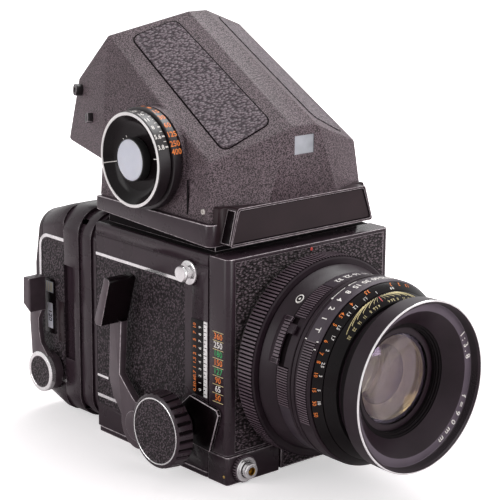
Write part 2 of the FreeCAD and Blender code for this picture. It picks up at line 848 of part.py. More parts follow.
def filter_ring():
    joint = front_glass_face - 0.5
    return turned([(joint, inner_cone_radius), (joint, neck_radius), (front_ring_start, neck_radius),
                   (front_ring_start, front_ring_rear_radius), (front_ring_end, front_ring_radius),
                   (front_ring_end, front_ring_radius - 0.8), (front_ring_end - 0.5, filter_thread_radius),
                   (front_ring_end - filter_thread_depth, filter_thread_radius),
                   (front_ring_end - filter_thread_depth - 0.8, filter_thread_radius - 4.5),
                   (inner_cone_end, inner_cone_radius)])


def front_glass():
    radius = glass_radius - glass_fit
    back = front_glass_face - front_glass_edge - 4
    bulge = 3.5
    sphere_radius = (radius ** 2 + bulge ** 2) / (2 * bulge)
    disc = rod_y(-front_glass_face - bulge, -back, 0, lens_height, radius)
    dome = Part.makeSphere(sphere_radius, vec(0, -front_glass_face - bulge + sphere_radius, lens_height))
    return disc.common(dome)


def rear_glass():
    start = -(-standard_depth + 1.0)
    return rod_y(start - rear_glass_length, start, 0, lens_height, rear_glass_radius - glass_fit)


def blades(plane, inner_radius):
    """Leaves stacked one behind another about the lens axis, opened to the inner radius."""
    leaves = []
    for index in range(blade_count):
        near = plane + (index - blade_count / 2) * (blade_thickness + 0.1)
        ring = turned([(near, inner_radius), (near, chamber_radius), (near + blade_thickness, chamber_radius),
                       (near + blade_thickness, inner_radius)])
        start = 360.0 * index / blade_count
        leaves.append(ring.common(sector(chamber_radius + 5, near - 1, near + 1, start, start + 110)))
    return Part.makeCompound(leaves)


def finder_solid(inset):
    """Roofed housing of the finder, symmetric about X = 0, with every face moved in by the inset."""
    low = finder_seat_top if inset == 0 else finder_seat_top - 1
    shape = block(-60, 60, 0, 170, low, 230)
    facet_slope = (facet_half_bottom - facet_half_top) / 30.0
    for side in (-1, 1):
        along_crease = vec(-side * facet_slope, 0, 1)
        along_corner = vec(side * (45.2 - facet_half_bottom), facet_corner_y - facet_y, 0)
        normal = along_crease.cross(along_corner)
        if normal.y > 0:
            normal = normal * -1
        shape = cut_beyond(shape, (side * facet_half_bottom, facet_y, 132.5), normal, inset)
        shape = cut_beyond(shape, (side * side_foot_half, 0, side_foot_height), (side, 0, side_draft), inset)
        shape = cut_beyond(shape, (side * spine_half_width, 0, roof_front_height),
                           (side * roof_slope, -roof_slope, 1), inset)
        top = vec(side * (side_foot_half - side_draft * 70), overhang_front, side_foot_height + 70)
        foot = vec(side * side_foot_half, overhang_front, side_foot_height)
        rear = vec(side * rear_half_width, overhang_rear, overhang_bottom)
        normal = (foot - top).cross(rear - top)
        if normal.y < 0:
            normal = normal * -1
        shape = cut_beyond(shape, top, normal, inset)
    shape = cut_beyond(shape, (0, facet_y, 0), (0, -1, 0), inset)
    shape = cut_beyond(shape, (0, 6, 165), (0, -spine_slope, 1), inset)
    shape = cut_beyond(shape, (0, rear_top_y, rear_top_height), (0, rear_top_slope, 1), inset)
    lean = (overhang_rear - rear_top_y) / (rear_top_height - overhang_bottom)
    shape = cut_beyond(shape, (0, overhang_rear, overhang_bottom), (0, 1, lean), inset)
    return shape.cut(block(-60, 60, overhang_front - inset, 200, 100, overhang_bottom + inset))


def finder_outer():
    shape = finder_solid(0)
    edges = [e for e in shape.Edges if e.BoundBox.ZMax > finder_seat_top + 1]
    return shape.makeFillet(finder_edge_radius, edges)


def eyepiece_frame():
    """Centre of the eyepiece on the leaning rear face, and the direction it looks in."""
    lean = (overhang_rear - rear_top_y) / (rear_top_height - overhang_bottom)
    centre = vec(0, overhang_rear - lean * (eyepiece_z - overhang_bottom), eyepiece_z)
    return centre, vec(0, 1, lean).normalize()


def finder_housing(outer):
    shape = outer.cut(plate_seat()).cut(finder_solid(finder_wall))
    boss = rod_x(-side_foot_half, -side_foot_half + 6, dial_y, dial_z, dial_speed_radius - 0.5)
    shape = shape.fuse(boss.cut(finder_solid(finder_wall + 0.01)))
    centre, look = eyepiece_frame()
    shape = shape.cut(Part.makeCylinder(eyepiece_bore, 12, centre - look * 6, look))
    recess = block(-window_half, window_half, facet_y - 1, facet_y + window_depth, window_bottom, window_top)
    shape = shape.cut(recess)
    socket_hole = rod_x(-side_foot_half - 1, -side_foot_half + 4, dial_y, dial_z, dial_spindle_radius)
    return shape.cut(socket_hole).removeSplitter()


def finder_base():
    rear = body_rear - 1
    strip = plate_x([(strip_front, finder_bottom(strip_front)), (rear, finder_bottom(rear)),
                     (rear, finder_seat_top), (strip_front, finder_seat_top)], -body_half_width, body_half_width)
    corners = [e for e in strip.Edges if abs(e.tangentAt(e.FirstParameter).z) > 0.99 and e.CenterOfMass.y < rear - 1]
    strip = strip.makeFillet(strip_corner, corners)
    return strip.cut(block(-opening_half, opening_half, screen_centre - opening_half, screen_centre + opening_half,
                           finder_bottom_front - 2, finder_seat_top + 1))


def finder_leather():
    """Leather on the two sloping roof faces, outline in (x, y) on the roof."""
    def height(x, y):
        return roof_front_height + roof_slope * y - roof_slope * (x - spine_half_width)
    corners = [(34.5, 93.3), (13.4, 85.5), (13.4, 14.8), (37.9, 19.6)]
    points = [vec(x, y, height(x, y)) for x, y in corners]
    normal = vec(roof_slope, -roof_slope, 1).normalize()
    sheet = Part.Face(Part.makePolygon(points + points[:1])).extrude(normal * roof_leather_thickness)
    upright = [e for e in sheet.Edges if abs(e.tangentAt(e.FirstParameter).dot(normal)) > 0.99]
    sheet = sheet.makeFillet(5.0, upright)
    return Part.makeCompound([sheet, mirrored(sheet)])


def prism_glass():
    block_shape = finder_solid(prism_inset)
    floor = block(-opening_half - 1, opening_half + 1, 0, 200, 0, finder_seat_top + 6)
    keep = block(-60, 60, 0, overhang_front - 4, finder_seat_top, 230)
    foot = block(-opening_half - 1, opening_half + 1, screen_centre - opening_half - 1,
                 screen_centre + opening_half + 1, finder_seat_top, finder_seat_top + 6)
    return block_shape.common(keep).cut(floor).fuse(foot.common(block_shape)).removeSplitter()


def plate_outline(half_bottom, half_top, inset, y0, y1):
    """Upright plate with slanted ends and rounded corners, from y0 to y1."""
    low = plate_bottom + inset
    high = plate_bottom + plate_height - inset
    plate = plate_y([(-half_bottom + inset, low), (half_bottom - inset, low), (half_top - inset, high),
                     (-half_top + inset, high)], y0, y1)
    corners = [e for e in plate.Edges if abs(e.tangentAt(e.FirstParameter).y) > 0.99]
    return plate.makeFillet(plate_corner, corners)


def plate_seat():
    """Flat front layer of the name plate, let into the housing behind it."""
    lean = math.tan(math.radians(plate_lean))
    layer = plate_outline(plate_half_bottom, plate_half_top, 0, 0, shoulder_front + 1)
    return cut_beyond(layer, (0, plate_front + plate_thickness, plate_bottom), (0, 1, -lean))


def nameplate(outer):
    """Bare name plate on the finder's nose, leaning back a little, with a raised rim and rear shoulders."""
    front = plate_outline(plate_half_bottom, plate_half_top, 0, 0, shoulder_front + 1)
    shoulders = plate_outline(shoulder_half_bottom, shoulder_half_top, 0, shoulder_front, shoulder_rear)
    lean = (0, -1, math.tan(math.radians(plate_lean)))
    front = cut_beyond(front, (0, plate_front, plate_bottom), lean)
    pocket = plate_outline(plate_half_bottom, plate_half_top, plate_rim, 0, shoulder_front)
    pocket = pocket.cut(cut_beyond(pocket, (0, plate_front, plate_bottom), lean, plate_recess))
    plate = joined([front, shoulders]).cut(pocket)
    seat = block(-body_half_width - 1, body_half_width + 1, strip_front, body_rear, plate_bottom - 1, finder_seat_top)
    return plate.cut(outer.cut(plate_seat())).cut(seat)


def front_window():
    return block(-window_half, window_half, facet_y + 0.4, facet_y + window_depth, window_bottom, window_top)


def dial_speed_ring():
    bore = dial_spindle_radius + ring_fit
    return turned_x([(-dial_rear, bore), (-dial_rear, dial_speed_radius - 0.5), (-dial_rear - 0.5, dial_speed_radius),
                     (-dial_split + 0.4, dial_speed_radius), (-dial_split, dial_speed_radius - 0.4),
                     (-dial_split, bore)], dial_y, dial_z)


def dial_aperture_ring():
    bore = dial_spindle_radius + ring_fit
    rear = -dial_split - dial_gap
    floor = -dial_front + dial_dish_depth
    return turned_x([(rear, bore), (rear, dial_aperture_radius), (-dial_front + 0.6, dial_aperture_radius),
                     (-dial_front, dial_aperture_radius - 0.6), (-dial_front, dial_dish_radius),
                     (floor + 1.0, dial_dish_radius - 2.4), (floor, dial_disc_radius + 2), (floor, bore)],
                    dial_y, dial_z)


def dial_disc():
    floor = -dial_front + dial_dish_depth
    spindle = rod_x(floor - dial_disc_height, -side_foot_half + 4, dial_y, dial_z, dial_spindle_radius)
    disc = rod_x(floor - dial_disc_height, floor - dial_gap, dial_y, dial_z, dial_disc_radius)
    return joined([spindle, disc])


def eyepiece():
    centre, look = eyepiece_frame()
    ring = Part.makeCylinder(eyepiece_radius, eyepiece_reach, centre, look)
    ring = ring.makeFillet(1.2, [e for e in ring.Edges if (e.CenterOfMass - centre).dot(look) > 1
                                 and len(e.Vertexes) == 1])
    return ring.cut(Part.makeCylinder(eyepiece_bore, eyepiece_reach + 2, centre - look, look))


def eyepiece_lens():
    centre, look = eyepiece_frame()
    return Part.makeCylinder(eyepiece_bore - glass_fit, 2.4, centre - look * 2, look)


def meter_fittings(outer):
    """Small socket and switch button on the finder's rear chamfer."""
    direction = vec(-0.939, 0.334, 0.082).normalize()
    socket = Part.makeCylinder(3.0, 5.0, vec(socket_place) - direction * 1.0, direction)
    socket = socket.cut(Part.makeCylinder(1.5, 3.0, vec(socket_place) + direction * 2.0, direction))
    button = Part.makeBox(4.4, 4.4, 4.0, vec(-2.2, -2.2, -1.0))
    turn = FreeCAD.Rotation(vec(0, 0, 1), direction)
    button.Placement = FreeCAD.Placement(vec(switch_place), turn)
    return Part.makeCompound([socket.cut(outer), button.cut(outer)])


def revolving_adapter():
    start = body_rear + adapter_gap
    end = start + adapter_depth
    core = rounded(adapter_half_width - 2, adapter_half_height - 2, back_corner - 2, start, end)
    rib = rounded(adapter_half_width, adapter_half_height, back_corner, start + 3.4, start + 5.8)
    hub = rod_y(body_rear - hub_depth, start, 0, lens_height, hub_outer_radius)
    shape = joined([core, rib, hub])
    gate = block(-gate_half_width, gate_half_width, body_rear - hub_depth - 1, end + 1,
                 lens_height - gate_half_height, lens_height + gate_half_height)
    return shape.cut(gate)


def back_outline(inset, y0, y1):
    """Solid of the film back's outer form between two stations: straight, then narrowing towards the rear."""
    share = (y1 - taper_start) / (taper_end - taper_start)
    end_height = shell_half_height + (shell_rear_half_height - shell_half_height) * share
    straight = rounded(shell_half_width - inset, shell_half_height - inset, shell_corner - inset, y0, taper_start)

    def section(half_height, y):
        plate = rounded(shell_half_width - inset, half_height - inset, shell_corner - inset, y, y + 1)
        face = [f for f in plate.Faces if abs(f.CenterOfMass.y - y) < 0.01][0]
        return face.OuterWire

    taper = Part.makeLoft([section(shell_half_height, taper_start), section(end_height, y1)], True, True)
    return straight.fuse(taper)


def film_holder():
    """Roll film holder: light sealed front frame, deep band, and the shell round the spools."""
    start = body_rear + adapter_gap + adapter_depth
    rib = rounded(adapter_half_width + rib_step, adapter_half_height + 0.6, back_corner, start, start + rib_depth)
    core = rounded(adapter_half_width - 2, adapter_half_height - 2, back_corner - 2, start, shell_front)
    band = rounded(holder_half_width, holder_half_height, back_corner, band_front, band_rear)
    waist = block(-holder_half_width - 1, -holder_half_width + waist_depth, waist_front, band_rear + 1,
                  lens_height - waist_half, lens_height + waist_half)
    band = band.cut(waist).cut(mirrored(waist))
    sill = rounded(adapter_half_width, core_half_height, back_corner, slide_y_front + 3, shell_front)
    shell = back_outline(0, shell_front, shell_rear)
    knuckles = [rod_z(z0, z1, hinge_x, shell_rear, door_hinge_radius) for z0, z1 in outer_knuckles]
    leaves = [block(shell_half_width - 1, hinge_x, shell_rear - 2.0, shell_rear - 0.2, z0, z1)
              for z0, z1 in outer_knuckles]
    pin = rod_z(outer_knuckles[0][0], outer_knuckles[1][1], hinge_x, shell_rear, hinge_pin_radius)
    shape = joined([rib, core, band, sill, shell] + knuckles + leaves + [pin])
    inner = shell_half_width - shell_wall
    tunnel = block(-inner, inner, film_plane, shell_front + 1, lens_height - core_half_height + shell_wall,
                   lens_height + core_half_height - shell_wall)
    cavity = back_outline(shell_wall, shell_front, shell_rear + 1)
    gate = block(-gate_half_width + 1, gate_half_width - 1, start - 1, film_plane + 1,
                 lens_height - gate_half_height + 1, lens_height + gate_half_height - 1)
    slot = block(slide_left - 0.3, holder_half_width + 1, slide_y_front - 0.2, slide_y_front + slide_thickness + 0.2,
                 lens_height - slide_half_height - 0.3, lens_height + slide_half_height + 0.3)
    shape = shape.cut(tunnel).cut(cavity).cut(gate).cut(slot)
    for z in (lens_height - spool_height, lens_height + spool_height):
        shape = shape.cut(rod_x(-inner - spool_pin_depth, inner + spool_pin_depth, spool_y, z,
                                spool_pin_radius + ring_fit))
    return shape.cut(rod_x(-holder_half_width - 1, -shell_half_width + wind_shaft_depth + 0.1, wind_y, wind_z,
                           wind_shaft_radius + ring_fit))


def back_door():
    """Rear door: carries on the narrowing form, with a crowned back and a hinge knuckle on its +X side."""
    inner = shell_rear + door_gap
    outer = inner + door_thickness
    door = back_outline(0, taper_start - 1, outer).cut(block(-90, 90, 100, inner, -20, 140))
    for side in (-1, 1):
        door = cut_beyond(door, (0, outer, lens_height + side * door_crown_start),
                          (0, shell_rear_half_height - door_crown_start, side * door_crown))
    rim = [e for e in door.Edges if e.CenterOfMass.y > inner + 1.5 and len(e.Vertexes) == 2
           and e.BoundBox.YMin > inner + 0.1]
    door = door.makeFillet(door_edge_radius, rim)
    z0 = outer_knuckles[0][1] + 0.3
    z1 = outer_knuckles[1][0] - 0.3
    knuckle = rod_z(z0, z1, hinge_x, shell_rear, door_hinge_radius)
    leaf = block(shell_half_width - 3, hinge_x, inner, inner + 1.4, z0, z1)
    knuckle = joined([knuckle, leaf]).cut(rod_z(z0 - 1, z1 + 1, hinge_x, shell_rear, hinge_pin_radius + ring_fit))
    return door.fuse(knuckle).removeSplitter()


def pressure_plate():
    half = shell_half_width - shell_wall
    return block(-half, half, film_plane + 0.4, film_plane + 2.0, lens_height - slide_half_height,
                 lens_height + slide_half_height)


def spool(z):
    reach = shell_half_width - shell_wall + spool_pin_depth - 0.1
    core = rod_x(-spool_half_length, spool_half_length, spool_y, z, spool_core_radius)
    pins = rod_x(-reach, reach, spool_y, z, spool_pin_radius)
    flanges = [rod_x(side * spool_half_length - 0.6, side * spool_half_length + 0.6, spool_y, z, spool_flange_radius)
               for side in (-1, 1)]
    return joined([core, pins] + flanges)


def wind_lever():
    """Film wind lever with its bright ringed pivot, standing up along the back's side."""
    arm_steps = [(-8.4, 6.2), (-4.0, 10.6), (0.6, 15.2), (2.2, 21.7), (2.4, 28.2), (-0.6, 33.2), (-0.6, 51.2), (5.2, 51.2),
                 (9.6, 39.2), (10.2, 25.6), (9.6, 18.2), (9.2, 12.0), (8.8, 5.2), (0.0, -2.8)]
    tab_steps = [(-0.6, 33.2), (-0.6, 51.2), (4.9, 51.2), (5.4, 37.0)]
    arm = plate_x([(wind_y + y, wind_z + z) for y, z in arm_steps], -wind_arm_outer, -wind_arm_inner)
    hub = rod_x(-wind_arm_outer, -wind_hub_inner, wind_y, wind_z, wind_ring_radius + 0.6)
    ring = rod_x(-wind_face, -wind_arm_outer, wind_y, wind_z, wind_ring_radius)
    tab = plate_x([(wind_y + y, wind_z + z) for y, z in tab_steps], -tab_outer, -wind_arm_inner)
    tab = tab.makeFillet(1.0, [e for e in tab.Edges if e.CenterOfMass.x < -tab_outer + 0.1])
    shaft = rod_x(-wind_face + 2, -shell_half_width + wind_shaft_depth, wind_y, wind_z, wind_shaft_radius)
    return joined([arm, hub, ring, tab, shaft])


def dark_slide():
    blade = block(slide_left, holder_half_width, slide_y_front, slide_y_front + slide_thickness,
                  lens_height - slide_half_height, lens_height + slide_half_height)
    grip = block(holder_half_width + 0.3, holder_half_width + slide_handle, slide_y_front - 1, slide_y_front + 2,
                 lens_height - 27, lens_height + 27)
    neck = block(holder_half_width - 1, holder_half_width + 1, slide_y_front, slide_y_front + slide_thickness,
                 lens_height - 25, lens_height + 25)
    return joined([blade, neck, grip])


def holder_latches():
    start = body_rear + adapter_gap + adapter_depth
    bars = []
    for side in (-1, 1):
        z = lens_height + side * (adapter_half_height + 0.6)
        bars.append(block(-latch_half, latch_half, start + 0.4, start + 2.8, min(z, z + side * 1.8),
                          max(z, z + side * 1.8)))
    return Part.makeCompound(bars)


def make_pieces():
    outer = finder_outer()
    lower = lens_height - spool_height
    upper = lens_height + spool_height
    knob = focus_knob()
    return {
        "body_housing": body_housing(),
        "base_plate": base_plate(),
        "tripod_bush": tripod_bush(),
        "side_cover_right": side_cover(True),
        "side_cover_left": mirrored(side_cover(False)),
        "side_leather": side_leather(),
        "chrome_lines": chrome_lines(),
        "scale_plate": scale_plate(),
        "strap_lugs": strap_lugs(),
        "focusing_screen": focusing_screen(),
        "finder_mount": finder_mount(),
        "release_block": release_block(),
        "accessory_shoe": accessory_shoe(),
        "mirror_carrier": mirror_carrier(),
        "mirror_glass": mirror_glass(),
        "light_baffle": light_baffle(),
        "focus_shaft": focus_shaft(),
        "focus_knob_right": knob,
        "focus_knob_left": mirrored(knob),
        "focus_lock_lever": focus_lock_lever(),
        "cocking_lever": cocking_lever(),
        "release_button": release_button(),
        "release_collar": release_collar(),
        "front_standard": front_standard(),
        "front_leather": front_leather(),
        "lens_mount_ring": lens_mount_ring(),
        "bellows": bellows(),
        "focus_racks": focus_racks(),
        "lens_barrel": lens_barrel(),
        "breech_ring": breech_ring(),
        "sync_lever": sync_lever(),
        "aperture_ring": aperture_ring(),
        "shutter_ring": shutter_ring(),
        "distance_ring": distance_ring(),
        "filter_ring": filter_ring(),
        "front_glass": front_glass(),
        "rear_glass": rear_glass(),
        "shutter_blades": blades(shutter_plane, glass_radius),
        "iris_blades": blades(iris_plane, iris_opening),
        "finder_base": finder_base(),
        "finder_housing": finder_housing(outer),
        "finder_leather": finder_leather(),
        "prism_glass": prism_glass(),
        "nameplate": nameplate(outer),
        "front_window": front_window(),
        "dial_speed_ring": dial_speed_ring(),
        "dial_aperture_ring": dial_aperture_ring(),
        "dial_disc": dial_disc(),
        "eyepiece": eyepiece(),
        "eyepiece_lens": eyepiece_lens(),
        "meter_fittings": meter_fittings(outer),
        "revolving_adapter": revolving_adapter(),
        "film_holder": film_holder(),
        "back_door": back_door(),
        "pressure_plate": pressure_plate(),
        "supply_spool": spool(upper),
        "takeup_spool": spool(lower),
        "wind_lever": wind_lever(),
        "dark_slide": dark_slide(),
        "holder_latches": holder_latches(),
    }


os.makedirs("parts", exist_ok=True)
for name, shape in make_pieces().items():
    box = shape.BoundBox
    print(f"{name:20s} solids {len(shape.Solids)} valid {shape.isValid()} volume {shape.Volume:10.1f}"
          f"  x {box.XMin:.1f} {box.XMax:.1f}  y {box.YMin:.1f} {box.YMax:.1f}  z {box.ZMin:.1f} {box.ZMax:.1f}")
    shape.translate(vec(0, -tripod_y, 0))
    shape.exportStep(f"parts/{name}.step")
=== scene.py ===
import bpy
import bmesh
import json
from math import atan2, cos, degrees, hypot, inf, pi, radians, sin, tan
from mathutils import Vector, Matrix

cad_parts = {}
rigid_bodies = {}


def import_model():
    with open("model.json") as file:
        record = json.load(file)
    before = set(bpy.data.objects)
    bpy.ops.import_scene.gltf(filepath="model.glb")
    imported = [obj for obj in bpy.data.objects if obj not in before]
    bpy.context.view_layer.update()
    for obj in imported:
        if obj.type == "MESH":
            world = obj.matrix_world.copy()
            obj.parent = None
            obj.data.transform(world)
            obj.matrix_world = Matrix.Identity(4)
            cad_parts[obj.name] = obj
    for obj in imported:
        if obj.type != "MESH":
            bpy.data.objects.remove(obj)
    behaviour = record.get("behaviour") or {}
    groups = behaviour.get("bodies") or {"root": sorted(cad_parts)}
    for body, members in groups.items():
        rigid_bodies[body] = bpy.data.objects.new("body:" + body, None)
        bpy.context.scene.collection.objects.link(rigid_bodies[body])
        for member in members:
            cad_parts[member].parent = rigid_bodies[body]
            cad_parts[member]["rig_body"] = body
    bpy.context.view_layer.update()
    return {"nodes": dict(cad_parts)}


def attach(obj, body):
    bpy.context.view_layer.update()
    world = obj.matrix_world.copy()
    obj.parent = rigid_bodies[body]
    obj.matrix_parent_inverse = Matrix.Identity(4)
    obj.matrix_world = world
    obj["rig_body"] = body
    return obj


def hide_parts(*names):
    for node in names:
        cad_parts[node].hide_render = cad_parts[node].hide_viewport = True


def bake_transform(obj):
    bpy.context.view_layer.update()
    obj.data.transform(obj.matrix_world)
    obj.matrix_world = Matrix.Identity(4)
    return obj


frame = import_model()

# The camera is measured in millimetres: x across it, y from the front standard's face to the
# film back, z up. The frame's origin is the mouth of the tripod socket, 57 mm behind that face.
mm = 0.001
socketY = 57
lensZ = 56.5
toFrame = Matrix.Scale(mm, 4) @ Matrix.Translation((0, -socketY, 0))
finishes = {}


def hexColour(code):
    parts = [int(code[i:i + 2], 16) / 255 for i in (1, 3, 5)]
    return tuple(p / 12.92 if p <= 0.04045 else ((p + 0.055) / 1.055) ** 2.4 for p in parts) + (1,)


def addNode(tree, kind, settings=None, links=None):
    node = tree.nodes.new("ShaderNode" + kind)
    for key, value in (settings or {}).items():
        if isinstance(key, str) and hasattr(node, key):
            setattr(node, key, value)
        else:
            node.inputs[key].default_value = value
    for key, source in (links or {}).items():
        tree.links.new(source, node.inputs[key])
    return node


def addNoise(tree, size, detail, place):
    # size is the pattern's scale in mm
    return addNode(tree, "TexNoise", {"Scale": 1 / (size * mm), "Detail": detail}, {"Vector": place})


def addRange(tree, value, low, high, start=0, end=1):
    # value's share between start and end, turned into low to high
    settings = {"From Min": start, "From Max": end, "To Min": low, "To Max": high}
    return addNode(tree, "MapRange", settings, {"Value": value}).outputs["Result"]


def addMath(tree, operation, first, second):
    return addNode(tree, "Math", {"operation": operation}, {0: first, 1: second}).outputs["Value"]


def mixColours(tree, share, low, high):
    # low and high are hex codes or another node's colour
    node = addNode(tree, "Mix", {"data_type": "RGBA"}, {0: share})
    for index, colour in ((6, low), (7, high)):
        if isinstance(colour, str):
            node.inputs[index].default_value = hexColour(colour)
        else:
            tree.links.new(colour, node.inputs[index])
    return node.outputs[2]


def newMaterial(name):
    material = bpy.data.materials.new(name)
    material.use_nodes = True
    tree = material.node_tree
    place = addNode(tree, "TexCoord").outputs["Object"]
    return material, tree, tree.nodes["Principled BSDF"], place


def addFinish(name, low, high, patch, rough, relief=None, specular=None, metallic=None, pebble=None,
              stretch=(1, 1, 1), hollow=None, extra=None):
    # low and high are the darkest and lightest patches and patch their size in mm; relief is (grain in
    # mm, depth in mm, strength), pebble the size of rounded pebbles in it, and hollow the (start, end,
    # colour) of its valleys; extra holds plain values for more of the shader's sockets
    material, tree, shader, place = newMaterial(name)
    for key, value in {"Specular IOR Level": specular, "Metallic": metallic, **(extra or {})}.items():
        if value is not None:
            shader.inputs[key].default_value = value
    patches = addNoise(tree, patch, 4, place).outputs["Fac"]
    colour = mixColours(tree, addRange(tree, patches, 0, 1, 0.3, 0.7), low, high)
    tree.links.new(addRange(tree, patches, *rough), shader.inputs["Roughness"])
    if relief:
        grain, depth, strength = relief
        stretched = addNode(tree, "Mapping", {"Scale": stretch}, {"Vector": place}).outputs["Vector"]
        if pebble:
            # rounded pebbles, their outlines waved a little by the finer grain
            wave = addNoise(tree, grain, 2, place).outputs["Color"]
            bent = addNode(tree, "VectorMath", {"operation": "SCALE", "Scale": 0.45 * pebble * mm}, {0: wave})
            moved = addNode(tree, "VectorMath", {"operation": "ADD"}, {0: stretched, 1: bent.outputs[0]})
            cells = addNode(tree, "TexVoronoi", {"Scale": 1 / (pebble * mm)}, {"Vector": moved.outputs[0]})
            height = addRange(tree, cells.outputs["Distance"], 1, 0, 0, 0.8)
        else:
            height = addNoise(tree, grain, 3, stretched).outputs["Fac"]
        bump = addNode(tree, "Bump", {"Strength": strength, "Distance": depth * mm}, {"Height": height})
        tree.links.new(bump.outputs["Normal"], shader.inputs["Normal"])
        if hollow:
            # the valleys of the relief hold more shadow than its tops
            start, end, shade = hollow
            colour = mixColours(tree, addRange(tree, height, 0, 1, start, end), shade, colour)
    tree.links.new(colour, shader.inputs["Base Color"])
    finishes[name] = material


# stoving enamel on a die casting, sprayed: even satin black with a faint orange peel
addFinish("sprayedSatinEnamel", "#2c2127", "#33272e", 14, (0.22, 0.34), (0.9, 0.02, 0.35),
          0.28)
# the same enamel on edges worn by hands, painted light as a highlight: smoother, greyer, with metal showing
# in specks
addFinish("wornEdgeHighlight", "#7c7076", "#c8bec2", 2.2, (0.25, 0.4), (0.7, 0.03, 0.4),
          metallic=0.35)
# crinkle enamel, wrinkled while baking: dull warm grey with a fine sparkle of worm-like ridges,
# drawn a little coarser than the real ones so that they show
addFinish("crinkleEnamel", "#66575d", "#76666d", 25, (0.5, 0.66), (0.55, 0.3, 0.9), 0.35,
          hollow=(0.43, 0.57, "#211619"))
# embossed PVC leathercloth, fine grain: black, small pebbles about 1 mm across with shiny tops
addFinish("fineLeathercloth", "#5a4c54", "#685a62", 9, (0.36, 0.5), (0.6, 0.5, 0.9), 0.2,
          pebble=1.1, hollow=(0.3, 0.85, "#120a0e"))
# the same cloth with larger pebbles drawn out across the roof
addFinish("coarseLeathercloth", "#685b62", "#766970", 12, (0.4, 0.55), (0.7, 0.7, 0.9), 0.25,
          pebble=1.25, stretch=(0.6, 1.1, 1.1), hollow=(0.15, 0.55, "#342930"))
# and with deeper, darker valleys on the front plate
addFinish("frontLeathercloth", "#73636b", "#84747c", 12, (0.36, 0.5), (0.7, 1, 0.9), 0.2,
          pebble=1.25, stretch=(0.7, 1, 1.25), hollow=(0.3, 0.9, "#12090d"))
# black anodised aluminium, turned and bead blasted: grey-violet satin
addFinish("blastedAnodising", "#20161c", "#291e25", 16, (0.3, 0.42), (0.5, 0.02, 0.4), 0.18)
# the same under the name ring, left a little lighter
addFinish("nameRingAnodising", "#544a54", "#5f545f", 16, (0.5, 0.6), (0.5, 0.015, 0.4), 0.3)
# tops of ribs and knurls, painted a lighter grey as a highlight
addFinish("ribTopHighlight", "#4f424a", "#65575f", 9, (0.3, 0.4), (0.5, 0.015, 0.4), 0.4)
# semi-gloss enamel of the name plate: dark, smoother than the casting's
addFinish("plateEnamel", "#251a1e", "#2e2125", 18, (0.24, 0.34), (1.2, 0.012, 0.3), 0.2)
# worn satin enamel of the levers' arms, a little lighter
addFinish("leverEnamel", "#463b41", "#54484e", 7, (0.25, 0.38), (0.9, 0.015, 0.3), 0.35)
# smooth black enamel of the meter's rings, which throws back more of the room
addFinish("dialEnamel", "#150f12", "#1d161a", 18, (0.3, 0.4), (1.2, 0.012, 0.3), 0.5)
# grey retaining rings between the lens's elements, bare turned metal seen through the glass
addFinish("retainerGrey", "#8e847c", "#a59b92", 8, (0.4, 0.55), (0.5, 0.01, 0.3))
# painted shade: near black in the grooves between ribs, in flutes, slots and along grooves round panels
addFinish("grooveShadow", "#080406", "#10090c", 3, (0.6, 0.8), (0.4, 0.03, 0.5), 0.05)
# gloss black enamel under engraved scales: deep black, smooth
addFinish("glossEnamel", "#0c0709", "#130c0f", 20, (0.16, 0.26), (1.5, 0.01, 0.3), 0.15)
# anodised aluminium of the speed band: dark grey with a metal sheen
addFinish("greyAnodising", "#352b34", "#40373f", 12, (0.28, 0.4), (0.5, 0.015, 0.4),
          metallic=0.3)
# flocked light trap inside the lens and body: takes nearly all light
addFinish("mattLightTrap", "#0a0608", "#120c0f", 6, (0.8, 0.95), (0.4, 0.05, 0.5), 0.15)
# bright chromium plate on turned brass: mirror-like with faint handling marks
addFinish("chromiumPlate", "#d9d7d8", "#efedee", 5, (0.08, 0.2), (0.6, 0.004, 0.4), metallic=0.75)
# satin nickel on small turned parts: soft grey metal
addFinish("satinNickel", "#a6a19d", "#c2bdb8", 4, (0.25, 0.4), (0.3, 0.01, 0.5), metallic=1)
# milled brass of the racks, socket and pin: yellow with tool marks across
addFinish("milledBrass", "#a98a4b", "#c4a664", 5, (0.25, 0.42), (0.5, 0.01, 0.6), metallic=1,
          stretch=(0.2, 3, 0.2))
# ground steel of the dark slide, film plate, shaft and bush: grey with fine lines one way
addFinish("groundSteel", "#8d8b8c", "#a9a7a8", 8, (0.22, 0.38), (0.3, 0.006, 0.6), metallic=1,
          stretch=(0.1, 1, 2))
# blued spring steel of the shutter and iris leaves: dark blue-grey sheen
addFinish("bluedSteel", "#1b1b21", "#26262e", 7, (0.35, 0.5), (0.4, 0.008, 0.5), metallic=0.8)
# moulded black plastic of spools and eyepiece: soft dull black
addFinish("mouldedPlastic", "#121011", "#191718", 10, (0.42, 0.56), (0.35, 0.02, 0.4))
# opal acrylic of the meter's diffuser: pale grey-white, softly lit from within
addFinish("opalAcrylic", "#d2cfd8", "#dedbe3", 12, (0.3, 0.42), (1.2, 0.01, 0.3),
          extra={"Subsurface Weight": 0.15})
# frosted glass of the finder's and counter's windows: mid grey, milky
addFinish("frostedWindow", "#8d9097", "#b3b6bd", 9, (0.25, 0.4), (0.8, 0.01, 0.3))
# white enamel of the extension ruler and the meter's rim: clean and smooth
addFinish("whiteEnamel", "#e6e2e2", "#f3f0ef", 6, (0.3, 0.4), (0.8, 0.01, 0.3))
# rubberised bellows cloth: dull black weave
addFinish("bellowsCloth", "#151314", "#1f1c1d", 8, (0.7, 0.85), (0.45, 0.06, 0.7),
          extra={"Sheen Weight": 0.15})
# front silvered mirror glass: bright and clear
addFinish("silveredGlass", "#e4e5e8", "#eeeff2", 30, (0.01, 0.03), (20, 0.002, 0.2), metallic=1)
